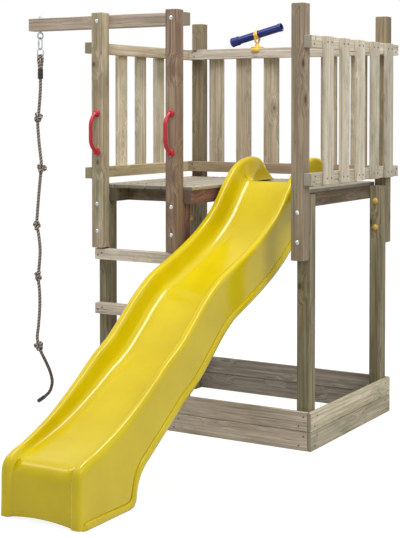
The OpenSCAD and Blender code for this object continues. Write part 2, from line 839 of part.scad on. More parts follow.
// Frame of the barrel: X along its axis, with the hood at the left end
module barrel_frame() {
    at_scope() translate([0, 0, scope_axis_z]) rotate([0, -scope_tilt, 0]) children();
}

module tube_along_x(x_low, x_high, outer, inner) {
    translate([x_low, 0, 0]) rotate(to_right) difference() {
        cylinder(r = outer, h = x_high - x_low);
        translate([0, 0, -overrun]) cylinder(r = inner, h = x_high - x_low + 2 * overrun);
    }
}

barrel_left = barrel_shift - barrel_length / 2;
barrel_right = barrel_shift + barrel_length / 2;
hood_right = barrel_left + hood_overlap;
eyepiece_left = barrel_right - eyepiece_overlap;

module scope_cradle() {
    color("#f0b428") barrel_frame() difference() {
        tube_along_x(-cradle_length / 2, cradle_length / 2, cradle_radius, barrel_seat);
        rotate(to_back) translate([0, 0, -cradle_radius - overrun])
            cylinder(r = trunnion_radius + seat_gap, h = 2 * (cradle_radius + overrun));
    }
}

// Pins that carry the cradle in the fork, with flat heads outside the arms
module scope_trunnions() {
    inner_end = barrel_seat + cradle_wall / 4;
    color("#c8c8c6") barrel_frame() for (side = [-1, 1]) mirror([0, side < 0 ? 1 : 0, 0]) {
        translate([0, inner_end, 0]) rotate(to_back)
            cylinder(r = trunnion_radius, h = fork_outside + fork_gap + trunnion_head_height / 2 - inner_end);
        translate([0, fork_outside + fork_gap, 0]) rotate(to_back)
            cylinder(r = trunnion_head_radius, h = trunnion_head_height);
    }
}

module scope_barrel() {
    color("#1e3278") barrel_frame() tube_along_x(barrel_left, barrel_right, barrel_radius, barrel_bore);
}

module scope_hood() {
    color("#1e3278") barrel_frame()
        tube_along_x(hood_right - hood_length, hood_right, hood_radius, barrel_seat);
}

module scope_eyepiece() {
    color("#1e3278") barrel_frame()
        tube_along_x(eyepiece_left, eyepiece_left + eyepiece_length, eyepiece_radius, barrel_seat);
}

// A lens in each end of the barrel
module scope_lenses() {
    color("#9fb4c0") barrel_frame()
        for (x = [barrel_left + lens_inset, barrel_right - lens_inset - lens_thickness])
            translate([x, 0, 0]) rotate(to_right) cylinder(r = barrel_bore - seat_gap, h = lens_thickness);
}

// Fittings of the rope, all hanging on one line under the beam
module rope_line() {
    placed() translate([rope_x, rope_y, 0]) children();
}

module eye_bolt() {
    tip_z = beam_top + eye_washer_height + eye_nut_height + eye_tip;
    color("#a9adb0") rope_line() {
        translate([0, 0, eye_z]) rotate(to_front)
            rotate_extrude() translate([eye_mean, 0]) circle(r = eye_radius);
        translate([0, 0, eye_z + eye_mean]) cylinder(r = eye_radius, h = tip_z - eye_z - eye_mean);
    }
}

module eye_bolt_nut() {
    color("#a9adb0") rope_line() translate([0, 0, beam_top]) difference() {
        union() {
            cylinder(r = eye_washer_radius, h = eye_washer_height);
            cylinder(r = eye_nut_radius, h = eye_washer_height + eye_nut_height, $fn = 6);
        }
        translate([0, 0, -overrun])
            cylinder(r = eye_radius + seat_gap, h = eye_washer_height + eye_nut_height + 2 * overrun);
    }
}

// A long closed link that stands in the YZ plane, between two centres on Z
module long_link(top, bottom, mean, wire) {
    for (end = [[top, 0], [bottom, 180]])
        translate([0, 0, end[0]]) rotate([end[1], 0, 0]) rotate([0, -90, 0]) rotate([0, 0, -90])
            rotate_extrude(angle = 180) translate([mean, 0]) circle(r = wire);
    for (side = [-1, 1])
        translate([0, side * mean, bottom]) cylinder(r = wire, h = top - bottom);
}

module quick_link() {
    color("#b9bcbe") rope_line() {
        long_link(link_top_centre, link_bottom_centre, link_mean, link_radius);
        translate([0, -link_mean, (link_top_centre + link_bottom_centre - link_sleeve_length) / 2])
            cylinder(r = link_sleeve_radius, h = link_sleeve_length, $fn = 6);
    }
}

module rope_ring() {
    color("#b9bcbe") rope_line() rotate([0, 0, 90])
        long_link(ring_top_centre, ring_bottom_centre, ring_mean, ring_radius);
}

// The rope's own loop through the ring, whose two legs close in and go into the ferrule
loop_lean = -atan2(loop_mean - loop_close, loop_z - ferrule_top);
loop_leg = norm([loop_mean - loop_close, loop_z - ferrule_top]) + rope_radius;
module rope_loop() {
    color("#6e5f4f") rope_line() {
        translate([0, 0, loop_z]) rotate([0, -90, 0]) rotate([0, 0, -90])
            rotate_extrude(angle = 180) translate([loop_mean, 0]) circle(r = rope_radius);
        for (side = [-1, 1]) translate([0, side * loop_mean, loop_z]) sphere(r = rope_radius);
        intersection() {
            for (side = [-1, 1])
                translate([0, side * loop_mean, loop_z]) rotate([side * loop_lean, 0, 0])
                    translate([0, 0, -loop_leg]) cylinder(r = rope_radius, h = loop_leg);
            translate([0, 0, ferrule_top]) cylinder(r = 2 * loop_mean, h = loop_leg);
        }
    }
}

module rope_ferrule() {
    color("#1c1c1e") rope_line() translate([0, 0, ferrule_bottom])
        cylinder(r = ferrule_radius, h = ferrule_length);
}

// The route as it hangs from the ferrule, and a tube along it, in the plane of the route
rope_stretch = ferrule_bottom / rope_route[0][1];
rope_hung = [for (p = rope_route) [rope_x + p[0], p[1] * rope_stretch]];
rope_path = smooth(rope_hung, rope_steps);
rope_rings = len(rope_path);
function rope_turn(i) =
    let (a = rope_path[max(i - 1, 0)],
         b = rope_path[min(i + 1, rope_rings - 1)],
         d = (b - a) / norm(b - a))
    [-d[1], d[0]];
function rope_ring_points(i) =
    let (p = rope_path[i], n = rope_turn(i))
    [for (k = [0 : rope_sides - 1])
        let (a = 360 * k / rope_sides, out = rope_radius * cos(a))
        [p[0] + out * n[0], rope_y + rope_radius * sin(a), p[1] + out * n[1]]];

module climbing_rope() {
    points = [for (i = [0 : rope_rings - 1]) each rope_ring_points(i)];
    sides = [
        for (i = [0 : rope_rings - 2])
            for (k = [0 : rope_sides - 1])
                let (m = (k + 1) % rope_sides, a = i * rope_sides, b = a + rope_sides)
                each two_faces(a + k, a + m, b + m, b + k)
    ];
    ends = [
        [for (k = [rope_sides - 1 : -1 : 0]) k],
        [for (k = [0 : rope_sides - 1]) (rope_rings - 1) * rope_sides + k]
    ];
    color("#6e5f4f") placed() polyhedron(points = points, faces = concat(sides, ends));
}

// Overhand knots: two round lumps of rope, one over the other
module rope_knots() {
    lump = knot_diameter * knot_lump_share;
    color("#6e5f4f") placed() for (i = knot_places, side = [-1, 1])
        translate([rope_hung[i][0], rope_y, rope_hung[i][1] + side * rope_radius / 2]) sphere(r = lump);
}

// Black sleeve on the loose end
module rope_sleeve() {
    end = rope_path[rope_rings - 1];
    before = rope_path[rope_rings - 2];
    slope = atan2(before[1] - end[1], before[0] - end[0]);
    color("#1c1c1e") placed() translate([end[0], rope_y, end[1]]) rotate([0, 90 - slope, 0])
        cylinder(r = sleeve_radius, h = sleeve_length);
}

front_left_leg();
ladder_leg();
front_right_leg();
back_left_leg();
back_right_leg();
front_left_post();
ladder_post();
front_right_post();
back_left_post();
back_right_post();
rope_beam();
left_joist();
middle_joist();
right_joist();
cross_joists();
left_deck();
rear_deck();
right_deck();
upper_rung();
middle_rung();
lower_rung();
left_rails();
left_slats();
right_rails();
right_slats();
back_rails();
back_slats();
front_sand_boards();
right_sand_boards();
back_sand_boards();
left_sand_boards();
slide();
slide_screws();
left_handle();
right_handle();
handle_screws();
carriage_bolts();
bolt_caps();
panel_screws();
deck_screws();
frame_screws();
scope_base();
scope_screws();
scope_fork();
scope_cradle();
scope_trunnions();
scope_barrel();
scope_hood();
scope_eyepiece();
scope_lenses();
eye_bolt();
eye_bolt_nut();
quick_link();
rope_ring();
rope_loop();
rope_ferrule();
climbing_rope();
rope_knots();
rope_sleeve();
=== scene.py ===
"""The looks of a wooden climbing frame with a wavy slide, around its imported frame. Metres, +Z up."""
import math
import random

import bmesh
import bpy
from mathutils import Matrix, Vector


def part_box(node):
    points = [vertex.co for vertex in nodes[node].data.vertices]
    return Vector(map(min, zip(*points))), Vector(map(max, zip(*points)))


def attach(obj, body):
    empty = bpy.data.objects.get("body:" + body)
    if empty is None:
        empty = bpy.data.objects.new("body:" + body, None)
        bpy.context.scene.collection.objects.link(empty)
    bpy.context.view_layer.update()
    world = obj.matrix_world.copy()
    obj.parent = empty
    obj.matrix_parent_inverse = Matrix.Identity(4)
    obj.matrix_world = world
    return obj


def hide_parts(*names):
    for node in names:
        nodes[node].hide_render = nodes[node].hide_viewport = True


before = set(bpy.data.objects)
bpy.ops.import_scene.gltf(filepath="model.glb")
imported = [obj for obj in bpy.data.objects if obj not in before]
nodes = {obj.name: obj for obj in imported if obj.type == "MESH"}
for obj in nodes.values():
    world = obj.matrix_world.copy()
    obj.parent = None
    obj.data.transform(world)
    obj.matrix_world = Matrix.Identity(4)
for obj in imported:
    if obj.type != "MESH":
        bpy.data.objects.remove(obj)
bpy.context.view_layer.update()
scene = bpy.context.scene
chance = random.Random(7)

# Camera, at the photograph's viewing angle
CAMERA_PLACE = (3.4827, -5.2274, 1.6393)
CAMERA_YAW = math.radians(30.825)
CAMERA_PITCH = math.radians(1.752)
CAMERA_LENS = 84.645
CAMERA_SHIFT = -0.22

# Rope: steps to the right of the hanging point, and heights, from the ferrule to the loose end
ROPE_PLACE = (-0.83025, 0.292)
ROPE_DIAMETER = 0.018
ROPE_ROUTE = [
    (0, 1.820), (0, 1.775), (-0.005, 1.710), (-0.016, 1.610), (-0.020, 1.570), (-0.011, 1.470),
    (0.002, 1.375), (0.006, 1.330), (-0.002, 1.290), (-0.015, 1.180), (-0.026, 1.070),
    (-0.029, 1.015), (-0.018, 0.970), (-0.007, 0.880), (-0.015, 0.780), (-0.022, 0.735),
    (-0.012, 0.650), (-0.011, 0.560), (-0.020, 0.460), (-0.029, 0.395), (-0.018, 0.345),
    (0.003, 0.305), (0.035, 0.256), (0.062, 0.205), (0.073, 0.155), (0.058, 0.106),
    (0.022, 0.070), (-0.022, 0.040),
]
# Where its knots are, how many points go between two places, and the twist and form of its strands
KNOT_PLACES = [3, 7, 11, 15, 20]
ROPE_STEPS = 10
ROPE_FINE_STEPS = 36
ROPE_SIDES = 24
ROPE_STRANDS = 4
ROPE_LAY = 0.034
STRAND_POWER = 0.7
GROOVE_SHARE = 0.85


# Shapes

def through(a, b, c, d, t):
    """The point at t on the smooth curve from b to c, with a before and d after them."""
    return (
        b + (c - a) * (t / 2)
        + (a * 2 - b * 5 + c * 4 - d) * (t * t / 2)
        + (b * 3 - a - c * 3 + d) * (t * t * t / 2)
    )


def smooth(points, steps):
    """The same curve through all the points."""
    points = [Vector(p) for p in points]
    last = len(points) - 1
    line = []
    for i in range(last):
        near = points[max(i - 1, 0)], points[i], points[i + 1], points[min(i + 2, last)]
        line += [through(*near, k / steps) for k in range(steps)]
    return line + [points[last]]


def along(a, b, t):
    return a + (b - a) * t


def ease(low, high, value):
    """From 0 to 1, softly, as the value goes from low to high."""
    t = min(1, max(0, (value - low) / (high - low)))
    return t * t * (3 - 2 * t)


def grid_faces(rows, columns, closed):
    """The faces of a grid of points, row after row; closed joins each row's ends."""
    faces = []
    for i in range(rows - 1):
        for k in range(columns if closed else columns - 1):
            m = (k + 1) % columns
            faces.append((i * columns + k, i * columns + m, (i + 1) * columns + m, (i + 1) * columns + k))
    return faces


def mesh_of(name, points, faces, closed=True):
    """A smooth mesh. A closed one has all its faces turned outwards."""
    mesh = bpy.data.meshes.new(name)
    mesh.from_pydata([tuple(p) for p in points], [], faces)
    mesh.polygons.foreach_set("use_smooth", [True] * len(mesh.polygons))
    if closed:
        work = bmesh.new()
        work.from_mesh(mesh)
        bmesh.ops.recalc_face_normals(work, faces=work.faces)
        work.to_mesh(mesh)
        work.free()
    mesh.update()
    return mesh


def piece(name, mesh, body, materials, replaced=()):
    """A new piece of the object, which rides on a body and may stand for CAD nodes."""
    obj = bpy.data.objects.new(name, mesh)
    scene.collection.objects.link(obj)
    for material in materials:
        mesh.materials.append(material)
    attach(obj, body)
    if replaced:
        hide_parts(*replaced)
    return obj


def directions(line):
    """The direction of a line of points at each of them."""
    last = len(line) - 1
    return [(line[min(i + 1, last)] - line[max(i - 1, 0)]).normalized() for i in range(last + 1)]


def capped(points, rows, columns):
    """Points of rows round a form, with its faces and two end caps."""
    faces = grid_faces(rows, columns, True)
    faces.append(tuple(range(columns))[::-1])
    faces.append(tuple(range((rows - 1) * columns, rows * columns)))
    return points, faces


def tube(line, radius_at, sides, side_hint=Vector((0, 1, 0)), turn_at=lambda i: 0.0):
    """Points and faces of a tube along a line. radius_at gives the radius for a row and an angle."""
    points = []
    side = side_hint
    for i, (place, way) in enumerate(zip(line, directions(line))):
        side = (side - way * side.dot(way)).normalized()
        other = way.cross(side)
        for k in range(sides):
            angle = 2 * math.pi * k / sides
            radius = radius_at(i, angle - turn_at(i))
            points.append(place + (side * math.cos(angle) + other * math.sin(angle)) * radius)
    return capped(points, len(line), sides)


def lathe(profile, sides, place, axis, ring=False):
    """Points and faces of a turned form. The profile has distances along the axis and radii."""
    axis = Vector(axis).normalized()
    side = axis.orthogonal().normalized()
    other = axis.cross(side)
    points = []
    for distance, radius in profile:
        for k in range(sides):
            angle = 2 * math.pi * k / sides
            around = side * math.cos(angle) + other * math.sin(angle)
            points.append(Vector(place) + axis * distance + around * radius)
    if not ring:
        return capped(points, len(profile), sides)
    last = (len(profile) - 1) * sides
    faces = grid_faces(len(profile), sides, True)
    faces += [(last + k, last + (k + 1) % sides, (k + 1) % sides, k) for k in range(sides)]
    return points, faces


def joined(parts):
    """Several lists of points and faces as one."""
    points, faces = [], []
    for some_points, some_faces in parts:
        start = len(points)
        points += some_points
        faces += [tuple(start + k for k in face) for face in some_faces]
    return points, faces


# Materials

class Shade:
    """A material with one principled shader, and short ways to add nodes to it."""

    def __init__(self, name):
        self.material = bpy.data.materials.new(name)
        self.material.use_nodes = True
        self.tree = self.material.node_tree
        self.shader = self.tree.nodes["Principled BSDF"]

    def add(self, kind, inputs=(), **settings):
        new = self.tree.nodes.new(kind)
        for key, value in settings.items():
            setattr(new, key, value)
        for key, value in dict(inputs).items():
            self.put(new.inputs[key], value)
        return new

    def put(self, socket, value):
        if isinstance(value, bpy.types.NodeSocket):
            self.tree.links.new(value, socket)
        else:
            socket.default_value = value

    def surface(self, **inputs):
        for key, value in inputs.items():
            self.put(self.shader.inputs[key.replace("_", " ")], value)

    def attribute(self, name, output):
        return self.add("ShaderNodeAttribute", attribute_name=name).outputs[output]

    def place(self):
        return self.add("ShaderNodeTexCoord").outputs["Object"]

    def stretched(self, vector, scale):
        return self.add("ShaderNodeMapping", {"Vector": vector, "Scale": scale}).outputs["Vector"]

    def noise(self, vector, scale=1.0, detail=4.0, roughness=0.55, distortion=0.0):
        inputs = {
            "Vector": vector, "Scale": scale, "Detail": detail,
            "Roughness": roughness, "Distortion": distortion,
        }
        return self.add("ShaderNodeTexNoise", inputs).outputs["Fac"]

    def cells(self, vector, scale=1.0):
        return self.add("ShaderNodeTexVoronoi", {"Vector": vector, "Scale": scale}).outputs["Distance"]

    def spread(self, value, low, high, to_low=0.0, to_high=1.0):
        inputs = {"Value": value, "From Min": low, "From Max": high, "To Min": to_low, "To Max": to_high}
        return self.add("ShaderNodeMapRange", inputs).outputs["Result"]

    def moved(self, vector, x, y, z):
        by = self.add("ShaderNodeCombineXYZ", {0: x, 1: y, 2: z}).outputs[0]
        new = self.add("ShaderNodeVectorMath", operation="ADD")
        self.put(new.inputs[0], vector)
        self.put(new.inputs[1], by)
        return new.outputs[0]

    def calc(self, operation, a, b):
        """The result of a sum, such as MULTIPLY, on two values."""
        new = self.add("ShaderNodeMath", operation=operation)
        self.put(new.inputs[0], a)
        self.put(new.inputs[1], b)
        return new.outputs[0]

    def times(self, a, b):
        return self.calc("MULTIPLY", a, b)

    def distance(self, a, b):
        return self.calc("ABSOLUTE", self.calc("SUBTRACT", a, b), 0)

    def grey(self, value):
        return self.add("ShaderNodeCombineColor", {0: value, 1: value, 2: value}).outputs[0]

    def mix(self, factor, a, b, blend="MIX"):
        new = self.add("ShaderNodeMix", data_type="RGBA", blend_type=blend)
        for index, value in ((0, factor), (6, a), (7, b)):
            self.put(new.inputs[index], value)
        return new.outputs[2]

    def bump(self, height, strength, distance):
        inputs = {"Height": height, "Strength": strength, "Distance": distance}
        self.surface(Normal=self.add("ShaderNodeBump", inputs).outputs["Normal"])


def rgb(*values):
    """A colour from its red, green and blue on a screen, from 0 to 255."""
    def linear(value):
        v = value / 255
        return v / 12.92 if v <= 0.04045 else ((v + 0.055) / 1.055) ** 2.4
    return (*[linear(v) for v in values], 1)


KNOT_COLOUR = rgb(74, 50, 34)
STAIN_COLOUR = rgb(116, 128, 100)
GREY_COLOUR = rgb(126, 119, 108)
CRACK_COLOUR = rgb(48, 38, 30)


def deepened(colour, share):
    """A colour with that share of its light."""
    return (*[c * share for c in colour[:3]], 1)


def wood(name, pale, dark, stain=0.35):
    """Weathered softwood whose grain follows each board's own length and bends round its knots."""
    shade = Shade(name)
    grain = shade.attribute("grain", "Vector")
    tone = shade.attribute("tone", "Fac")
    knot = shade.cells(shade.stretched(grain, (4.0, 6.5, 6.5)))
    bend = shade.spread(knot, 0.0, 0.40, 0.030, 0.0)
    bent = shade.moved(grain, 0, bend, bend)
    broad = shade.noise(shade.stretched(bent, (1.6, 17, 17)), detail=3, distortion=0.6)
    rings = shade.noise(shade.stretched(bent, (2.2, 80, 80)), detail=5, roughness=0.6, distortion=0.4)
    streaks = shade.noise(shade.stretched(bent, (1.4, 150, 150)), detail=3, roughness=0.5)
    fibres = shade.noise(shade.stretched(grain, (16, 520, 520)), detail=3)
    blotch = shade.noise(shade.stretched(grain, (4.0, 10, 10)), detail=5, roughness=0.68)
    weather = shade.noise(shade.stretched(grain, (2.6, 7, 7)), detail=5, roughness=0.7)
    colour = shade.mix(shade.spread(rings, 0.36, 0.62), dark, pale)
    colour = shade.mix(shade.spread(broad, 0.40, 0.70, 0, 0.6), colour, dark)
    colour = shade.mix(shade.spread(streaks, 0.34, 0.46, 0.55, 0.0), colour, deepened(dark, 0.62))
    colour = shade.mix(shade.spread(fibres, 0.3, 0.7, 0.0, 0.25), colour, GREY_COLOUR)
    colour = shade.mix(shade.spread(blotch, 0.52, 0.68, 0, stain), colour, STAIN_COLOUR)
    colour = shade.mix(shade.spread(weather, 0.54, 0.72, 0, 0.55), colour, deepened(dark, 0.55))
    colour = shade.mix(shade.spread(knot, 0.08, 0.24, 0.55, 0.0), colour, deepened(dark, 0.7))
    colour = shade.mix(shade.spread(knot, 0.06, 0.10, 0.85, 0.0), colour, KNOT_COLOUR)
    crack = shade.distance(shade.noise(shade.stretched(bent, (0.9, 60, 60)), detail=2), 0.5)
    open_cracks = shade.times(shade.spread(crack, 0.0, 0.009, 0.85, 0.0), shade.spread(broad, 0.46, 0.58))
    colour = shade.mix(open_cracks, colour, CRACK_COLOUR)
    colour = shade.mix(1.0, colour, shade.grey(shade.spread(tone, -1, 1, 0.80, 1.12)), "MULTIPLY")
    shade.surface(Base_Color=colour, Roughness=shade.spread(rings, 0.3, 0.7, 0.88, 0.70))
    shade.surface(Specular_IOR_Level=0.25)
    shade.bump(shade.mix(0.5, rings, fibres), 0.45, 0.0015)
    return shade.material


def end_grain(name, pale, dark):
    """Sawn ends, darker than the faces, with growth rings and saw marks. The darkening is partly the end
    grain's own colour and partly painted shade, as the ends lie in shadow.
    """
    shade = Shade(name)
    grain = shade.attribute("grain", "Vector")
    inputs = {
        "Vector": shade.stretched(grain, (0, 1, 1)), "Scale": 62,
        "Distortion": 2.5, "Detail": 3, "Detail Scale": 2,
    }
    rings = shade.add("ShaderNodeTexWave", inputs, wave_type="RINGS", rings_direction="X").outputs["Fac"]
    saw = shade.noise(shade.stretched(grain, (10, 60, 400)), detail=3)
    # ends darkened: partly the end grain's own colour, partly painted shade
    colour = shade.mix(shade.spread(rings, 0.2, 0.8, 0.1, 0.75), deepened(pale, 0.55), deepened(dark, 0.5))
    colour = shade.mix(shade.spread(saw, 0.3, 0.7, 0.1, 0.4), colour, deepened(STAIN_COLOUR, 0.6))
    shade.surface(Base_Color=colour, Roughness=0.9)
    shade.bump(saw, 0.4, 0.001)
    return shade.material


def moulded(name, colour, deep, roughness=0.28, grain_size=900, bump=0.05, specular=0.5):
    """Moulded plastic with a faint skin and slight unevenness of colour."""
    shade = Shade(name)
    place = shade.place()
    cloud = shade.noise(place, 5.5, 4)
    skin = shade.noise(place, grain_size, 2)
    shade.surface(Base_Color=shade.mix(shade.spread(cloud, 0.35, 0.7), colour, deep))
    shade.surface(Roughness=shade.spread(cloud, 0.3, 0.7, roughness * 0.85, roughness * 1.2))
    shade.surface(Specular_IOR_Level=specular)
    shade.bump(skin, bump, 0.0006)
    return shade.material


def metal(name, colour, dull, roughness=0.34):
    """Galvanised or plain steel with a fine spangle."""
    shade = Shade(name)
    place = shade.place()
    spangle = shade.cells(place, 420)
    wear = shade.noise(place, 60, 5)
    shade.surface(Base_Color=shade.mix(shade.spread(wear, 0.35, 0.7), colour, dull), Metallic=1.0)
    shade.surface(Roughness=shade.spread(spangle, 0.1, 0.8, roughness * 0.8, roughness * 1.4))
    shade.bump(wear, 0.12, 0.0004)
    return shade.material


def dark_glass(name):
    """Coated glass in front of a dark tube, slightly smeared."""
    shade = Shade(name)
    smear = shade.noise(shade.place(), 90, 4)
    shade.surface(Base_Color=shade.mix(smear, rgb(38, 46, 70), rgb(62, 72, 98)))
    shade.surface(Roughness=shade.spread(smear, 0.35, 0.75, 0.03, 0.16), Transmission_Weight=0.4, IOR=1.5)
    return shade.material


# Where the rope darkens, as distances along it
DARK_TAIL = (1.44, 1.56)


def rope_fibre(name):
    """Twisted strands, dark and pale in turn, with loose fibres, darker near the loose end."""
    shade = Shade(name)
    strand = shade.attribute("strand", "Fac")
    run = shade.attribute("run", "Vector")
    fibres = shade.noise(shade.stretched(run, (160, 900, 900)), detail=4, roughness=0.65)
    specks = shade.noise(shade.stretched(run, (90, 160, 160)), detail=3)
    length = shade.add("ShaderNodeSeparateXYZ", {"Vector": run}).outputs["X"]
    colour = shade.mix(shade.spread(strand, 0.3, 0.7), rgb(46, 36, 34), rgb(206, 187, 174))
    colour = shade.mix(shade.spread(specks, 0.50, 0.66, 0, 0.3), colour, rgb(136, 120, 112))
    colour = shade.mix(shade.spread(fibres, 0.3, 0.7, 0.0, 0.35), colour, rgb(60, 49, 45))
    colour = shade.mix(shade.spread(length, *DARK_TAIL, 0, 0.65), colour, rgb(46, 40, 40))
    shade.surface(Base_Color=colour, Roughness=0.92, Sheen_Weight=0.2)
    shade.bump(fibres, 0.8, 0.0018)
    return shade.material


def make_camera():
    """The photograph's camera."""
    data = bpy.data.cameras.new("camera")
    data.lens = CAMERA_LENS
    data.shift_y = CAMERA_SHIFT
    camera = bpy.data.objects.new("camera", data)
    scene.collection.objects.link(camera)
    level = math.cos(CAMERA_PITCH)
    way = Vector((-math.sin(CAMERA_YAW) * level, math.cos(CAMERA_YAW) * level, -math.sin(CAMERA_PITCH)))
    camera.location = CAMERA_PLACE
    camera.rotation_mode = "QUATERNION"
    camera.rotation_quaternion = way.to_track_quat("-Z", "Y")
    scene.camera = camera


make_camera()

ROPE_MATERIAL = rope_fibre("rope_fibre")
BLACK_PLASTIC = moulded("black_plastic", rgb(26, 26, 28), rgb(38, 38, 40), 0.45, 500, 0.15)


def crown(angle):
    """1 on the crown of a strand and 0 in the groove between two, at an angle round the rope."""
    return abs(math.cos(angle * ROPE_STRANDS / 2)) ** STRAND_POWER


def rope_mesh(name, lines, radius):
    """Ropes along lines, with their strands and their run marked for the material."""
    parts, strands, runs = [], [], []

    def bulge(angle):
        return radius * along(GROOVE_SHARE, 1, crown(angle))

    for line in lines:
        lengths = [0.0]
        for a, b in zip(line, line[1:]):
            lengths.append(lengths[-1] + (b - a).length)
        turns = [2 * math.pi * length / ROPE_LAY for length in lengths]
        parts.append(tube(line, lambda i, angle: bulge(angle), ROPE_SIDES, turn_at=lambda i: turns[i]))
        for length, turn in zip(lengths, turns):
            for k in range(ROPE_SIDES):
                angle = 2 * math.pi * k / ROPE_SIDES
                around = k / ROPE_SIDES - turn / (2 * math.pi)
                strands.append(float(math.floor(around * ROPE_STRANDS + 0.5) % 2))
                runs.append((length, math.cos(angle) * radius, math.sin(angle) * radius))
    points, faces = joined(parts)
    mesh = mesh_of(name, points, faces)
    mesh.attributes.new("strand", "FLOAT", "POINT").data.foreach_set("value", strands)
    flat = [c for run in runs for c in run]
    mesh.attributes.new("run", "FLOAT_VECTOR", "POINT").data.foreach_set("vector", flat)
    return mesh


def make_rope():
    route = [Vector((ROPE_PLACE[0] + x, ROPE_PLACE[1], z)) for x, z in ROPE_ROUTE]
    path = smooth(route, ROPE_STEPS)
    radius = ROPE_DIAMETER / 2
    fine = smooth(route, ROPE_FINE_STEPS)
    rope = piece("climbing_rope_strands", rope_mesh("climbing_rope", [fine], radius), "rope",
                 [ROPE_MATERIAL], ["climbing_rope"])
    knot_mesh = rope_mesh("rope_knots", knot_lines(route), radius * KNOT_ROPE_SHARE)
    knots = piece("rope_overhand_knots", knot_mesh, "rope", [ROPE_MATERIAL], ["rope_knots"])
    rope_fittings(path)


# Knots: size, depth, points of a line, thickness beside the rope's, and how each is turned and leans
KNOT_SIZE = 0.0073
KNOT_DEPTH = 0.008
KNOT_POINTS = 72
KNOT_ROPE_SHARE = 0.92
KNOT_TURN = 0.9
KNOT_LEAN = 0.35


def knot_lines(route):
    """Overhand knots, each a closed three-lobed line that wraps round the rope."""
    lines = []
    for number, index in enumerate(KNOT_PLACES):
        turn = Matrix.Rotation(KNOT_TURN * number, 3, "Z") @ Matrix.Rotation(KNOT_LEAN, 3, "Y")
        line = []
        for k in range(KNOT_POINTS + 1):
            t = 2 * math.pi * k / KNOT_POINTS
            flat = Vector((
                math.sin(t) + 2 * math.sin(2 * t),
                -math.sin(3 * t) * KNOT_DEPTH / KNOT_SIZE,
                math.cos(t) - 2 * math.cos(2 * t),
            ))
            line.append(route[index] + turn @ flat * KNOT_SIZE)
        lines.append(line)
    return lines


# Loop above the ferrule: half widths and heights. Ferrule and sleeve: distances along them and radii
FITTING_SIDES = 32
LOOP = [
    (0.0062, 1.874), (0.0085, 1.888), (0.0125, 1.906), (0.0155, 1.923), (0.0150, 1.938), (0.0085, 1.9465),
    (0.0, 1.9482),
]
FERRULE = [
    (0.0, 0.0100), (0.0004, 0.0125), (0.002, 0.0142), (0.005, 0.0150), (0.0135, 0.0149), (0.0165, 0.0137),
    (0.0195, 0.0149), (0.0385, 0.0149), (0.0415, 0.0137), (0.0445, 0.0149), (0.053, 0.0150), (0.056, 0.0142),
    (0.0576, 0.0125), (0.058, 0.0100),
]
SLEEVE = [
    (-0.003, 0.0040), (-0.0022, 0.0085), (-0.0005, 0.0104), (0.004, 0.0110), (0.024, 0.0108),
    (0.045, 0.0110), (0.0485, 0.0105), (0.050, 0.0094),
]


def rope_fittings(path):
    """The rope's loop, the ferrule under it and the sleeve on the loose end."""
    x, y = ROPE_PLACE
    half = [Vector((x, y - out, z)) for out, z in LOOP]
    other = [Vector((x, 2 * y - p.y, p.z)) for p in half[-2::-1]]
    line = smooth(half + other, ROPE_STEPS)
    loop = piece("rope_loop_strands", rope_mesh("rope_loop", [line], ROPE_DIAMETER / 2), "rope",
                 [ROPE_MATERIAL], ["rope_loop"])
    ferrule_mesh = mesh_of("rope_ferrule", *lathe(FERRULE, FITTING_SIDES, path[0], (0, 0, 1)))
    ferrule = piece("rope_crimped_ferrule", ferrule_mesh, "rope", [BLACK_PLASTIC],
                    ["rope_ferrule"])
    sleeve_mesh = mesh_of("rope_sleeve", *lathe(SLEEVE, FITTING_SIDES, path[-1], path[-2] - path[-1]))
    sleeve = piece("rope_end_sleeve", sleeve_mesh, "rope", [BLACK_PLASTIC], ["rope_sleeve"])
    return [loop, ferrule, sleeve]


make_rope()

# Timber: each board of a node gets eased edges, its own grain and its own tone
BOARD_EASE = 0.0028
POST_EASE = 0.0040
SAND_EASE = 0.0045
SEAM = 0.0015
BOARD_CUTS = 2
SAME_PLACE = 1e-5
GRAIN_SPREAD = 40
END_FACE = 0.9


def islands(obj):
    """The boxes of a node's separate solids, as lowest and highest corners."""
    work = bmesh.new()
    work.from_mesh(obj.data)
    bmesh.ops.remove_doubles(work, verts=work.verts, dist=SAME_PLACE)
    left = set(work.verts)
    boxes = []
    while left:
        group, open_ends = [], [left.pop()]
        while open_ends:
            vertex = open_ends.pop()
            group.append(vertex.co.copy())
            for edge in vertex.link_edges:
                other = edge.other_vert(vertex)
                if other in left:
                    left.remove(other)
                    open_ends.append(other)
        low = Vector([min(p[k] for p in group) for k in range(3)])
        high = Vector([max(p[k] for p in group) for k in range(3)])
        boxes.append((low, high))
    work.free()
    return sorted(boxes, key=lambda box: tuple(round(c, 4) for c in box[0]))


def layers(boxes, count):
    """Boxes of boards that lie on each other, cut into that many layers with a narrow seam between."""
    cut = []
    for low, high in boxes:
        step = (high.z - low.z) / count
        for k in range(count):
            bottom = low.z + k * step + (SEAM / 2 if k > 0 else 0)
            top = low.z + (k + 1) * step - (SEAM / 2 if k < count - 1 else 0)
            cut.append((Vector((low.x, low.y, bottom)), Vector((high.x, high.y, top))))
    return cut


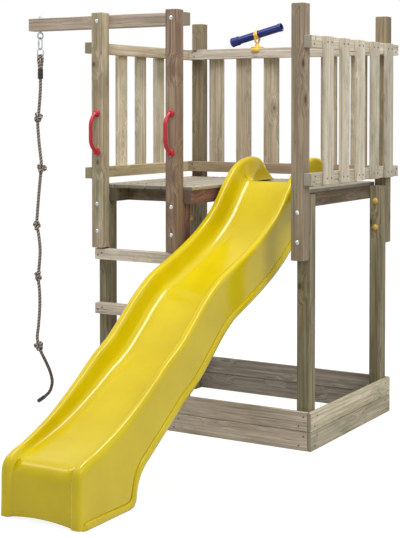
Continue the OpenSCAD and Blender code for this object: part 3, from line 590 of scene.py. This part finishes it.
def board(work, low, high, ease_by, marks, face_index):
    """One board with rounded edges, added to a bmesh, with its grain, its tone and its two materials."""
    size = high - low
    length_axis = max(range(3), key=lambda k: size[k])
    across = [k for k in range(3) if k != length_axis]
    middle = (low + high) / 2
    before = set(work.verts)
    fit = Matrix.Translation(middle) @ Matrix.Diagonal((*size, 1))
    made = bmesh.ops.create_cube(work, size=1.0, matrix=fit)
    edges = list({edge for vertex in made["verts"] for edge in vertex.link_edges})
    bmesh.ops.bevel(work, geom=edges, offset=ease_by, segments=BOARD_CUTS, profile=0.5, affect="EDGES")
    new = [vertex for vertex in work.verts if vertex not in before]
    shift = Vector([chance.uniform(0, GRAIN_SPREAD) for _ in range(3)])
    tone = chance.uniform(-1, 1)
    for vertex in new:
        local = vertex.co - middle
        vertex[marks["grain"]] = Vector((local[length_axis], local[across[0]], local[across[1]])) + shift
        vertex[marks["tone"]] = tone
    for face in {face for vertex in new for face in vertex.link_faces}:
        face.smooth = True
        face.material_index = face_index + (1 if abs(face.normal[length_axis]) > END_FACE else 0)


def timber(name, node, materials, ease_by=BOARD_EASE, layer_count=1):
    """All boards of a node as one piece."""
    work = bmesh.new()
    marks = {
        "grain": work.verts.layers.float_vector.new("grain"),
        "tone": work.verts.layers.float.new("tone"),
    }
    boxes = layers(islands(nodes[node]), layer_count)
    for number, (low, high) in enumerate(boxes):
        board(work, low, high, ease_by, marks, 2 * number % len(materials))
    work.normal_update()
    mesh = bpy.data.meshes.new(name)
    work.to_mesh(mesh)
    work.free()
    obj = piece(name, mesh, "frame", materials, [node])
    obj.modifiers.new("even_normals", "WEIGHTED_NORMAL").keep_sharp = True


# Pale and dark colour of each wood, and how stained it is. The colours are fitted to how bright each part
# looks, so they also hold painted light and shade: the rungs are lightened against the shade they stand in,
# and the back posts and back sand boards are darkened with painted shade.
WOODS = {
    "post_left": (rgb(226, 210, 179), rgb(170, 152, 121), 0.45),
    "post_ladder": (rgb(180, 156, 131), rgb(128, 101, 84), 0.15),
    "post_right": (rgb(200, 183, 155), rgb(148, 129, 107), 0.35),
    # darkened with painted shade
    "post_back": (rgb(175, 159, 129), rgb(131, 116, 90), 0.30),
    "leg": (rgb(172, 160, 129), rgb(117, 107, 80), 0.35),
    "leg_red": (rgb(150, 112, 102), rgb(98, 68, 62), 0.10),
    "beam": (rgb(216, 200, 184), rgb(170, 152, 132), 0.25),
    "joist": (rgb(148, 130, 108), rgb(104, 86, 68), 0.30),
    "joist_red": (rgb(184, 138, 134), rgb(128, 88, 86), 0.10),
    "deck": (rgb(201, 193, 178), rgb(161, 151, 133), 0.25),
    # lightened against the shade the rungs get: painted light
    "rung": (rgb(244, 234, 218), rgb(206, 190, 172), 0.20),
    "left_panel": (rgb(246, 239, 217), rgb(206, 190, 162), 0.40),
    "tan_rail": (rgb(236, 220, 180), rgb(196, 174, 132), 0.20),
    "grey_rail": (rgb(216, 201, 176), rgb(172, 155, 128), 0.30),
    "brown_rail": (rgb(179, 160, 134), rgb(149, 128, 103), 0.15),
    "back_panel": (rgb(215, 203, 179), rgb(168, 153, 129), 0.35),
    "back_rail": (rgb(238, 228, 215), rgb(198, 185, 167), 0.15),
    "pale": (rgb(238, 229, 210), rgb(206, 192, 168), 0.35),
    "sand_front": (rgb(232, 218, 200), rgb(180, 164, 145), 0.30),
    "sand_side": (rgb(235, 224, 197), rgb(189, 176, 147), 0.40),
    # darkened with painted shade; the left sand boards use it too
    "sand_back": (rgb(214, 202, 188), rgb(157, 146, 134), 0.30),
}
# Node, its woods from the lowest board upwards, slot, easing of the edges, and boards on each other
TIMBER = [
    ("front_left_post", "post_left", "post_wood", POST_EASE, 1),
    ("ladder_post", "post_ladder", "post_wood", POST_EASE, 1),
    ("front_right_post", "post_right", "post_wood", POST_EASE, 1),
    ("back_left_post", "post_back", "post_wood", POST_EASE, 1),
    ("back_right_post", "post_back", "post_wood", POST_EASE, 1),
    ("front_left_leg", "leg", "leg_wood", POST_EASE, 1),
    ("ladder_leg", "leg_red", "leg_wood", POST_EASE, 1),
    ("front_right_leg", "leg", "leg_wood", POST_EASE, 1),
    ("back_left_leg", "leg", "leg_wood", POST_EASE, 1),
    ("back_right_leg", "leg", "leg_wood", POST_EASE, 1),
    ("rope_beam", "beam", "beam_wood", POST_EASE, 1),
    ("left_joist", "joist", "joist_wood", BOARD_EASE, 1),
    ("middle_joist", "joist_red", "joist_wood", BOARD_EASE, 1),
    ("right_joist", "joist", "joist_wood", BOARD_EASE, 1),
    ("cross_joists", "joist", "joist_wood", BOARD_EASE, 1),
    ("left_deck", "deck", "deck_wood", BOARD_EASE, 1),
    ("rear_deck", "deck", "deck_wood", BOARD_EASE, 1),
    ("right_deck", "deck", "deck_wood", BOARD_EASE, 1),
    ("upper_rung", "rung", "rung_wood", POST_EASE, 1),
    ("middle_rung", "rung", "rung_wood", POST_EASE, 1),
    ("lower_rung", "rung", "rung_wood", POST_EASE, 1),
    ("left_rails", "tan_rail grey_rail", "panel_wood", BOARD_EASE, 1),
    ("left_slats", "left_panel", "panel_wood", BOARD_EASE, 1),
    ("back_rails", "brown_rail back_rail", "panel_wood", BOARD_EASE, 1),
    ("back_slats", "back_panel", "panel_wood", BOARD_EASE, 1),
    ("right_rails", "pale", "pale_wood", BOARD_EASE, 1),
    ("right_slats", "pale", "pale_wood", BOARD_EASE, 1),
    ("front_sand_boards", "sand_front", "sand_wood", SAND_EASE, 2),
    ("right_sand_boards", "sand_side", "sand_wood", SAND_EASE, 2),
    ("back_sand_boards", "sand_back", "sand_wood", SAND_EASE, 2),
    ("left_sand_boards", "sand_back", "sand_wood", SAND_EASE, 2),
]


def make_timber():
    made = {}
    for name, (pale, dark, stain) in WOODS.items():
        made[name] = [wood(name + "_wood", pale, dark, stain), end_grain(name + "_ends", pale, dark)]
    for node, kinds, slot, ease_by, layer_count in TIMBER:
        materials = [material for kind in kinds.split() for material in made[kind]]
        timber(node + "_timber", node, materials, ease_by, layer_count)


make_timber()

# Slide: a thin moulded sheet with flat rims, a lip and an open foot. It is drawn on its inner side, and its
# thickness goes outwards. Shares of the run go from 0 at the deck's edge to 1 at the front of the foot.
SLIDE_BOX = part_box("slide")
DECK_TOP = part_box("left_deck")[1].z
SLIDE_X = (SLIDE_BOX[0].x + SLIDE_BOX[1].x) / 2
FOOT_Y = SLIDE_BOX[0].y
SLIDE_RUN = 1.972
HEEL_Y = FOOT_Y + SLIDE_RUN
SLIDE_SHELL = 0.006
BED_HALF = 0.095
BED_DEPTH = 0.095
RIM_HALF = 0.178
WALL_DEPTH = 0.213
FLANGE_DEPTH = 0.030
EAR_SHARE = 0.02
HEEL_SHARE = 0.04
SLIDE_STEPS = 8
# Crest of the rims: share of the run, and height as a share of the deck's
RIM_SHARES = [
    (-0.188, 1.000), (-0.152, 1.037), (-0.112, 1.090), (-0.061, 1.107), (-0.010, 1.094),
    (0.031, 1.066), (0.076, 1.008), (0.142, 0.904), (0.213, 0.830), (0.294, 0.771),
    (0.369, 0.726), (0.441, 0.683), (0.505, 0.623), (0.558, 0.558), (0.617, 0.488),
    (0.673, 0.440), (0.745, 0.365), (0.836, 0.283), (0.925, 0.226), (0.972, 0.204),
    (0.996, 0.176), (1.000, 0.100), (1.000, 0.006),
]
# Way across the flat bed, and way up a flank on the slope from there: width and height
BED_SHARES = (0, 0.25, 0.5, 0.75)
FLANK = [
    (0, 0), (0.008, 0.0005), (0.018, 0.0026), (0.030, 0.0066), (0.041, 0.0116), (0.050, 0.0190),
    (0.056, 0.028), (0.0605, 0.039), (0.0645, 0.051), (0.068, 0.063), (0.0710, 0.0745), (0.0740, 0.0850),
    (0.0780, 0.0925), (0.083, 0.095),
]
# The same at the foot, where two ribs with sloping sides stand beside a flat recess
FOOT_BED_HALF = 0.152
FRONT_RECESS = 0.014
FOOT_FLANK_SHARES = [
    (0, 0), (0.08, 0.02), (0.15, 0.08), (0.22, 0.18), (0.29, 0.31), (0.36, 0.45), (0.43, 0.59),
    (0.50, 0.72), (0.57, 0.83), (0.65, 0.92), (0.74, 0.97), (0.83, 1.0), (0.92, 1.0), (1.0, 1.0),
]
# Where the slope's form goes over to the foot's, and how the bed rises to the front and turns down there
FOOT_BLEND = (0.64, 0.97)
RIB_BLEND = (0.90, 0.99)
FOOT_SHARE = 0.35
FOOT_POWER = 0.8
NOSE_START_SHARE = 0.80
NOSE_ROUNDING = 0.042
# Outer wall: half widths, with distances down from the crest, shares of the wall, and distances up
# from its lower edge. The crest is flat on the slope and round at the foot.
CREST_EDGE = [(0.1945, 0.0004), (0.1975, 0.0020), (0.1992, 0.0052), (0.2003, 0.0100), (0.2008, 0.018)]
FOOT_CREST_EDGE = [(0.1850, 0.001), (0.1920, 0.0045), (0.1970, 0.0110), (0.1998, 0.021), (0.2008, 0.034)]
WALL_SHARES = [(0.2010, 0.3), (0.2013, 0.5), (0.2017, 0.7)]
LIP = [
    (0.2020, 0.0400), (0.2021, 0.0320), (0.2026, 0.0292), (0.2046, 0.0272), (0.2076, 0.0262),
    (0.2098, 0.0248), (0.2110, 0.0220), (0.2113, 0.0110), (0.2106, 0.0),
]
# How much narrower the foot is, and the height of a wall from which crest and lip have their full size
FOOT_NARROWING = 0.04
FULL_WALL = 0.140
# Lower edge of the foot: its length, height over the floor, start, roundings, nose and arch of the front
FOOT_LENGTH = 0.382
FOOT_RISE = 0.002
FOOT_START_SHARE = 0.70
FOOT_BEND = 0.090
FOOT_CORNER = 0.045
FRONT_CORNER = 0.020
NOSE_SHARE = 0.985
NOSE_EDGE = 0.060
FRONT_ARCH = 0.013
FRONT_TOP = 0.126
FRONT_SHARE = 0.999
CORNER_STEPS = 8
SLOPE_ROWS = 4


def rounded(points, radii):
    """A line of points with its corners rounded, each by a curve that starts at that distance."""
    line = [points[0]]
    for before, corner, after, radius in zip(points, points[1:], points[2:], radii):
        start = corner + (before - corner).normalized() * radius
        end = corner + (after - corner).normalized() * radius
        for k in range(CORNER_STEPS + 1):
            t = k / CORNER_STEPS
            line.append(along(along(start, corner, t), along(corner, end, t), t))
    return line + [points[-1]]


def ways(line):
    """The way gone at each point of a line, from 0 to 1."""
    gone = [0.0]
    for a, b in zip(line, line[1:]):
        gone.append(gone[-1] + (b - a).length)
    return [way / gone[-1] for way in gone]


def points_at(line, shares):
    """The points at rising shares of the way along a line."""
    gone = ways(line)
    places, k = [], 0
    for share in shares:
        while k < len(line) - 2 and gone[k + 1] < share:
            k += 1
        places.append(along(line[k], line[k + 1], (share - gone[k]) / (gone[k + 1] - gone[k])))
    return places


def spaced(line, count):
    """That many points, evenly spaced along a line."""
    return points_at(line, [i / (count - 1) for i in range(count)])


def slide_rims():
    """The crest of the rims, as shares of the run and as Y and Z."""
    line = smooth([Vector((share, height)) for share, height in RIM_SHARES], SLIDE_STEPS)
    shares = [min(p.x, 1) for p in line]
    least = DECK_TOP + SLIDE_SHELL
    heights = [max(p.y * DECK_TOP, least) if p.x < EAR_SHARE else p.y * DECK_TOP for p in line]
    return shares, [Vector((HEEL_Y - s * SLIDE_RUN, z)) for s, z in zip(shares, heights)]


def slide_lows(shares, rims, inwards):
    """The lower edge of the outer walls, along the slope and then round the foot."""
    lows = []
    for share, rim, inward in zip(shares, rims, inwards):
        down = rim + inward * WALL_DEPTH
        if share < HEEL_SHARE:
            lows.append(Vector((max(rim.x, HEEL_Y), DECK_TOP)))
        else:
            lows.append(Vector((min(down.x, HEEL_Y), max(down.y, FOOT_RISE))))
    start = next(i for i, share in enumerate(shares) if share > FOOT_START_SHARE)
    back = FOOT_Y + FOOT_LENGTH
    slope = (lows[start] - lows[start - SLOPE_ROWS]).normalized()
    meet = lows[start] + slope * ((back - lows[start].x) / slope.x)
    edge = [lows[start], meet, Vector((back, FOOT_RISE)), Vector((FOOT_Y + FRONT_CORNER, FOOT_RISE))]
    line = rounded(edge, [FOOT_BEND, FOOT_CORNER])
    nose = next(i for i, share in enumerate(shares) if share > NOSE_SHARE)
    under_nose = line[-1] + Vector((NOSE_EDGE, 0))
    lows[start:nose] = spaced(line[:-1] + [under_nose], nose - start)
    lows[nose:] = spaced([under_nose, line[-1]], len(lows) - nose)
    return lows


def eased(line, reach):
    """A line of points with its turns softened: each is the mean of those within that distance."""
    soft = []
    for point in line:
        near = [p for p in line if (p - point).length < reach]
        soft.append(sum(near, Vector((0, 0))) / len(near))
    return soft


def slide_rows():
    """For each row along the slide: share of the run, and the rim, bed and lower edge as Y and Z."""
    shares, rims = slide_rims()
    inwards = []
    for share, way in zip(shares, directions(rims)):
        inwards.append(Vector((0, -1)) if share < EAR_SHARE else Vector((-way.y, way.x)))
    beds = []
    for share, rim, inward in zip(shares, rims, inwards):
        to_front = min(1, (1 - share) / FOOT_SHARE) ** FOOT_POWER
        if share < EAR_SHARE:
            beds.append(Vector((HEEL_Y + FLANGE_DEPTH * share / RIM_SHARES[0][0], DECK_TOP + SLIDE_SHELL)))
        else:
            beds.append(rim + inward * along(FRONT_RECESS, BED_DEPTH, to_front))
    beds = round_nose(shares, beds)
    return list(zip(shares, rims, beds, slide_lows(shares, rims, inwards)))


def round_nose(shares, beds):
    """The bed with a rounder turn from the slope to the front."""
    start = next(i for i, share in enumerate(shares) if share > NOSE_START_SHARE)
    line = spaced(beds[start:], SLIDE_STEPS * (len(beds) - start))
    ends = line[0], line[-1]
    soft = eased(line, NOSE_ROUNDING)
    inner = [p for p in soft if min((p - end).length for end in ends) > NOSE_ROUNDING]
    turn = smooth([ends[0], *inner[::SLIDE_STEPS], ends[1]], SLIDE_STEPS)
    return beds[:start] + points_at(turn, ways(beds[start:]))


def slide_half(row):
    """Points of half a section from the middle of the bed to the lower edge, as X, Y and Z."""
    share, rim, bed, low = row
    foot = ease(*FOOT_BLEND, share)
    half = along(BED_HALF, FOOT_BED_HALF, foot)
    points = [(t * half, bed) for t in BED_SHARES]
    rib = ease(*RIB_BLEND, share)
    for (out, up), (foot_out, foot_up) in zip(FLANK, FOOT_FLANK_SHARES):
        out_share = along(out / FLANK[-1][0], foot_out, rib)
        up_share = along(up / FLANK[-1][1], foot_up, rib)
        points.append((along(half, RIM_HALF, out_share), along(bed, rim, up_share)))
    wall = (low - rim).length
    fit = min(1, wall / FULL_WALL) / wall
    for (x, down), (foot_x, foot_down) in zip(CREST_EDGE, FOOT_CREST_EDGE):
        points.append((along(x, foot_x, foot), along(rim, low, along(down, foot_down, foot) * fit)))
    points += [(x, along(rim, low, down)) for x, down in WALL_SHARES]
    step = wall * fit
    points += [(along(LIP[0][0], x, step), along(low, rim, up * fit)) for x, up in LIP]
    width = 1 - FOOT_NARROWING * foot
    return [arched(Vector((x * width, p.x, p.y)), half, share) for x, p in points]


def arched(point, half, share):
    """A point of the front, whose lower edge bends up in the middle."""
    if share > FRONT_SHARE and point.x < half and point.z < FRONT_TOP:
        point.z += FRONT_ARCH * (1 - (point.x / half) ** 2) * (1 - point.z / FRONT_TOP)
    return point


def make_slide():
    points, columns = [], 0
    rows = slide_rows()
    for row in rows:
        half = slide_half(row)
        left = [Vector((SLIDE_X - p.x, p.y, p.z)) for p in half[:0:-1]]
        right = [Vector((SLIDE_X + p.x, p.y, p.z)) for p in half]
        points += left + right
        columns = len(left) + len(right)
    mesh = mesh_of("slide", points, grid_faces(len(rows), columns, False), closed=False)
    yellow = moulded("slide_plastic", rgb(212, 190, 4), rgb(204, 180, 2), 0.17, 1400, 0.02, 0.31)
    slide = piece("slide_moulding", mesh, "frame", [yellow], ["slide"])
    shell = slide.modifiers.new("wall", "SOLIDIFY")
    shell.thickness = SLIDE_SHELL
    shell.offset = -1


make_slide()

# Grab handles: bowed grips between two domed pads. Bow and pad: distances from the post, heights and radii
HANDLE_SPAN = 0.200
GRIP_RADIUS = 0.0103
GRIP_BOW = [
    (0.006, 0.100), (0.017, 0.096), (0.030, 0.086), (0.043, 0.070), (0.0515, 0.053),
    (0.0545, 0.033), (0.0545, 0),
]
GRIP_ROOT = 0.0032
GRIP_ROOT_PARTS = 6
GRIP_STEPS = 6
GRIP_SIDES = 24
PAD_SIDES = 32
PAD = [
    (0, 0.0205), (0.0015, 0.0210), (0.005, 0.0209), (0.0075, 0.0198), (0.0098, 0.0172), (0.0112, 0.0135),
    (0.0118, 0.009), (0.0118, 0.001),
]
RED = moulded("handle_plastic", rgb(192, 26, 50), rgb(172, 18, 40), 0.26)


def make_handle(node):
    low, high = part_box(node)
    x, face, middle = (low.x + high.x) / 2, high.y, (low.z + high.z) / 2
    half = [Vector((x, face - out, middle + up)) for out, up in GRIP_BOW]
    other = [Vector((p.x, p.y, 2 * middle - p.z)) for p in half[-2::-1]]
    line = smooth(half + other, GRIP_STEPS)
    last = len(line) - 1

    def radius(i, angle):
        root = 1 - ease(0, last / GRIP_ROOT_PARTS, min(i, last - i))
        return GRIP_RADIUS + GRIP_ROOT * root

    parts = [tube(line, radius, GRIP_SIDES, Vector((1, 0, 0)))]
    for side in (-1, 1):
        parts.append(lathe(PAD, PAD_SIDES, (x, face, middle + side * HANDLE_SPAN / 2), (0, -1, 0)))
    mesh = mesh_of(node, *joined(parts))
    piece(node + "_moulding", mesh, "frame", [RED], [node])


for handle in ("left_handle", "right_handle"):
    make_handle(handle)

# Telescope: a domed base with a skirt, a fork with bowed arms, a band round the barrel and end rings
SCOPE_TILT = math.radians(14)
SCOPE_SIDES = 48
# Turned forms: distances along the axis and radii
BASE_DOME = [
    (0, 0.0345), (0.0010, 0.0358), (0.0040, 0.0364), (0.0070, 0.0358), (0.0090, 0.0340), (0.0099, 0.0315),
    (0.0100, 0.0280), (0.0100, 0.0020),
]
SKIRT = [
    (0, 0.0362), (-0.008, 0.0362), (-0.014, 0.0356), (-0.0185, 0.0338), (-0.021, 0.0308), (-0.022, 0.0270),
]
HUB = [
    (0, 0.0130), (0.0008, 0.0144), (0.0026, 0.0148), (0.0060, 0.0130), (0.0100, 0.0105), (0.0140, 0.0088),
    (0.0160, 0.0060), (0.0164, 0.0010),
]
HUB_RISE = 0.0103
ARM_BOSS = [
    (0, 0.0070), (0.0005, 0.0084), (0.0014, 0.0090), (0.0036, 0.0090), (0.0045, 0.0084), (0.0050, 0.0070),
]
BAND = [
    (-0.0100, 0.0227), (-0.0112, 0.0238), (-0.0112, 0.0250), (-0.0098, 0.0261), (0, 0.0265), (0.0098, 0.0261),
    (0.0112, 0.0250), (0.0112, 0.0238), (0.0100, 0.0227),
]
HOOD = [
    (-0.1660, 0.0228), (-0.1680, 0.0242), (-0.1680, 0.0266), (-0.1665, 0.0279), (-0.1640, 0.0281),
    (-0.1615, 0.0276), (-0.1595, 0.0268), (-0.1310, 0.0262), (-0.1285, 0.0270), (-0.1255, 0.0274),
    (-0.1230, 0.0268), (-0.1220, 0.0252), (-0.1220, 0.0227),
]
EYEPIECE = [
    (0.1420, 0.0227), (0.1420, 0.0234), (0.1432, 0.0243), (0.1450, 0.0245), (0.1575, 0.0241),
    (0.1600, 0.0245), (0.1614, 0.0242), (0.1620, 0.0234), (0.1620, 0.0227),
]
# An arm of the fork: steps to the side and heights from the tilt axis, then half width and thickness
ARM = [
    (0.0, -0.0510), (0.0125, -0.0460), (0.0225, -0.0345), (0.0280, -0.0200), (0.0297, -0.0080),
    (0.0297, 0.0020),
]
ARM_ROOT = 0.0075
ARM_TIP = 0.0052
ARM_HALF = 0.0023
ARM_INSIDE = 0.0272
ARM_STEPS = 6
ARM_SIDES = 20
BOSS_SIDES = 32
SCOPE_YELLOW = moulded("scope_yellow", rgb(246, 204, 96), rgb(236, 188, 72), 0.30)
SCOPE_BLUE = moulded("scope_blue", rgb(22, 40, 122), rgb(15, 29, 98), 0.14, specular=0.4)


def skirt(middle, rail_half):
    """The part of a bowl that lies in front of the rail."""
    points = []
    for rise, radius in SKIRT:
        reach = math.acos(rail_half / radius)
        for k in range(SCOPE_SIDES):
            angle = reach * (2 * k / (SCOPE_SIDES - 1) - 1)
            points.append(middle + Vector((math.sin(angle) * radius, -math.cos(angle) * radius, rise)))
    return capped(points, len(SKIRT), SCOPE_SIDES)


def fork_arm(axis, side):
    """One bowed arm with a round boss at the tilt axis."""
    line = smooth([axis + Vector((0, side * out, up)) for out, up in ARM], ARM_STEPS)
    last = len(line) - 1

    def radius(i, angle):
        half = along(ARM_ROOT, ARM_TIP, i / last)
        return 1 / math.hypot(math.cos(angle) / half, math.sin(angle) / ARM_HALF)

    boss_place = axis + Vector((0, side * ARM_INSIDE, 0))
    boss = lathe(ARM_BOSS, BOSS_SIDES, boss_place, (0, side, 0))
    return [tube(line, radius, ARM_SIDES, Vector((1, 0, 0))), boss]


def make_scope():
    rail_low, rail_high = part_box("back_rails")
    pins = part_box("scope_trunnions")
    axis = (pins[0] + pins[1]) / 2
    foot = Vector((axis.x, axis.y, rail_high.z))
    dome = lathe(BASE_DOME, SCOPE_SIDES, foot, (0, 0, 1))
    base_mesh = mesh_of("scope_base", *joined([dome, skirt(foot, (rail_high.y - rail_low.y) / 2)]))
    piece("scope_domed_base", base_mesh, "frame", [SCOPE_YELLOW], ["scope_base"])
    hub = lathe(HUB, SCOPE_SIDES, foot + Vector((0, 0, HUB_RISE)), (0, 0, 1))
    fork = [hub, *fork_arm(axis, -1), *fork_arm(axis, 1)]
    piece("scope_bowed_fork", mesh_of("scope_fork", *joined(fork)), "telescope_fork",
          [SCOPE_YELLOW], ["scope_fork"])
    way = (math.cos(SCOPE_TILT), 0, math.sin(SCOPE_TILT))
    for name, profile, material, slot, node in (
        ("scope_barrel_band", BAND, SCOPE_YELLOW, "scope_yellow", "scope_cradle"),
        ("scope_flared_hood", HOOD, SCOPE_BLUE, "scope_blue", "scope_hood"),
        ("scope_end_ring", EYEPIECE, SCOPE_BLUE, "scope_blue", "scope_eyepiece"),
    ):
        mesh = mesh_of(node, *lathe(profile, SCOPE_SIDES, axis, way, ring=True))
        piece(name, mesh, "telescope", [material], [node])


make_scope()

# Metal and plastic pieces that keep their CAD shapes
ZINC = metal("zinc", rgb(204, 207, 210), rgb(164, 168, 172), 0.26)
STEEL = metal("screw_steel", rgb(124, 118, 110), rgb(92, 87, 80), 0.45)
CAP = moulded("cap_plastic", rgb(206, 172, 76), rgb(186, 150, 58), 0.42)
KEPT = {
    ZINC: ["slide_screws", "handle_screws", "carriage_bolts", "scope_screws", "eye_bolt", "eye_bolt_nut",
           "quick_link", "rope_ring"],
    STEEL: ["panel_screws", "deck_screws", "frame_screws"],
    CAP: ["bolt_caps"],
    SCOPE_YELLOW: ["scope_trunnions"],
    SCOPE_BLUE: ["scope_barrel"],
    dark_glass("lens_glass"): ["scope_lenses"],
}
for material, names in KEPT.items():
    for name in names:
        nodes[name].data.materials.clear()
        nodes[name].data.materials.append(material)


# Stage: a pale floor, soft light and a white background
FLOOR_SIZE = 40
FLOOR_GLOW = 1.42
FLOOR_GLOW_SHARE = 0.62
WORLD_LIGHT = 0.50
# Lamps: place, point that they are aimed at, width and depth, and power in watts
LAMPS = {
    "overhead": ((0.5, -0.1, 5.2), (0.5, -0.1, 0), (0.8, 3.0), 140),
    "right": ((5.0, -1.0, 4.4), (0, 0, 1), (2.5, 2.5), 105),
    "left": ((-3.0, -1.6, 5.0), (0.3, -0.6, 0.7), (1.6, 2.4), 50),
}


def floor_material():
    """A pale floor that keeps a soft shadow and is close to white for the camera."""
    shade = Shade("floor")
    speck = shade.noise(shade.place(), 3, 3)
    shade.surface(Base_Color=shade.mix(speck, rgb(212, 212, 210), rgb(216, 216, 214)), Roughness=0.9)
    ray = shade.add("ShaderNodeLightPath")
    seen = shade.calc("MAXIMUM", ray.outputs["Is Camera Ray"], ray.outputs["Is Glossy Ray"])
    glow = shade.add("ShaderNodeEmission", {"Color": (1, 1, 1, 1), "Strength": FLOOR_GLOW})
    both = shade.add("ShaderNodeMixShader")
    shade.put(both.inputs[0], shade.times(seen, FLOOR_GLOW_SHARE))
    shade.put(both.inputs[1], shade.shader.outputs[0])
    shade.put(both.inputs[2], glow.outputs[0])
    shade.put(shade.tree.nodes["Material Output"].inputs["Surface"], both.outputs[0])
    return shade.material


def make_stage():
    size = FLOOR_SIZE / 2
    corners = [(-size, -size, 0), (size, -size, 0), (size, size, 0), (-size, size, 0)]
    mesh = mesh_of("floor", corners, [(0, 1, 2, 3)], closed=False)
    mesh.materials.append(floor_material())
    floor = bpy.data.objects.new("floor", mesh)
    scene.collection.objects.link(floor)


def make_world():
    """Even white light, and plain white where a ray from the camera or off a shiny piece meets no piece."""
    world = bpy.data.worlds.new("white")
    scene.world = world
    world.use_nodes = True
    tree = world.node_tree
    light = tree.nodes["Background"]
    light.inputs["Color"].default_value = (1, 1, 1, 1)
    light.inputs["Strength"].default_value = WORLD_LIGHT
    seen = tree.nodes.new("ShaderNodeBackground")
    seen.inputs["Color"].default_value = (1, 1, 1, 1)
    ray = tree.nodes.new("ShaderNodeLightPath")
    either = ray.outputs["Is Camera Ray"]
    for kind in ("Is Glossy Ray", "Is Transmission Ray"):
        greater = tree.nodes.new("ShaderNodeMath")
        greater.operation = "MAXIMUM"
        tree.links.new(either, greater.inputs[0])
        tree.links.new(ray.outputs[kind], greater.inputs[1])
        either = greater.outputs[0]
    both = tree.nodes.new("ShaderNodeMixShader")
    tree.links.new(either, both.inputs[0])
    tree.links.new(light.outputs[0], both.inputs[1])
    tree.links.new(seen.outputs[0], both.inputs[2])
    tree.links.new(both.outputs[0], tree.nodes["World Output"].inputs["Surface"])


def area_light(name, place, target, size, power):
    """A lamp with a width and a depth, aimed at a point."""
    data = bpy.data.lights.new(name, "AREA")
    data.shape = "RECTANGLE"
    data.size, data.size_y = size
    data.energy = power
    lamp = bpy.data.objects.new(name, data)
    scene.collection.objects.link(lamp)
    lamp.location = place
    lamp.rotation_mode = "QUATERNION"
    lamp.rotation_quaternion = (Vector(target) - Vector(place)).to_track_quat("-Z", "Y")


make_stage()
make_world()
for name, values in LAMPS.items():
    area_light(name, *values)
scene.view_settings.view_transform = "Standard"

bpy.context.view_layer.update()
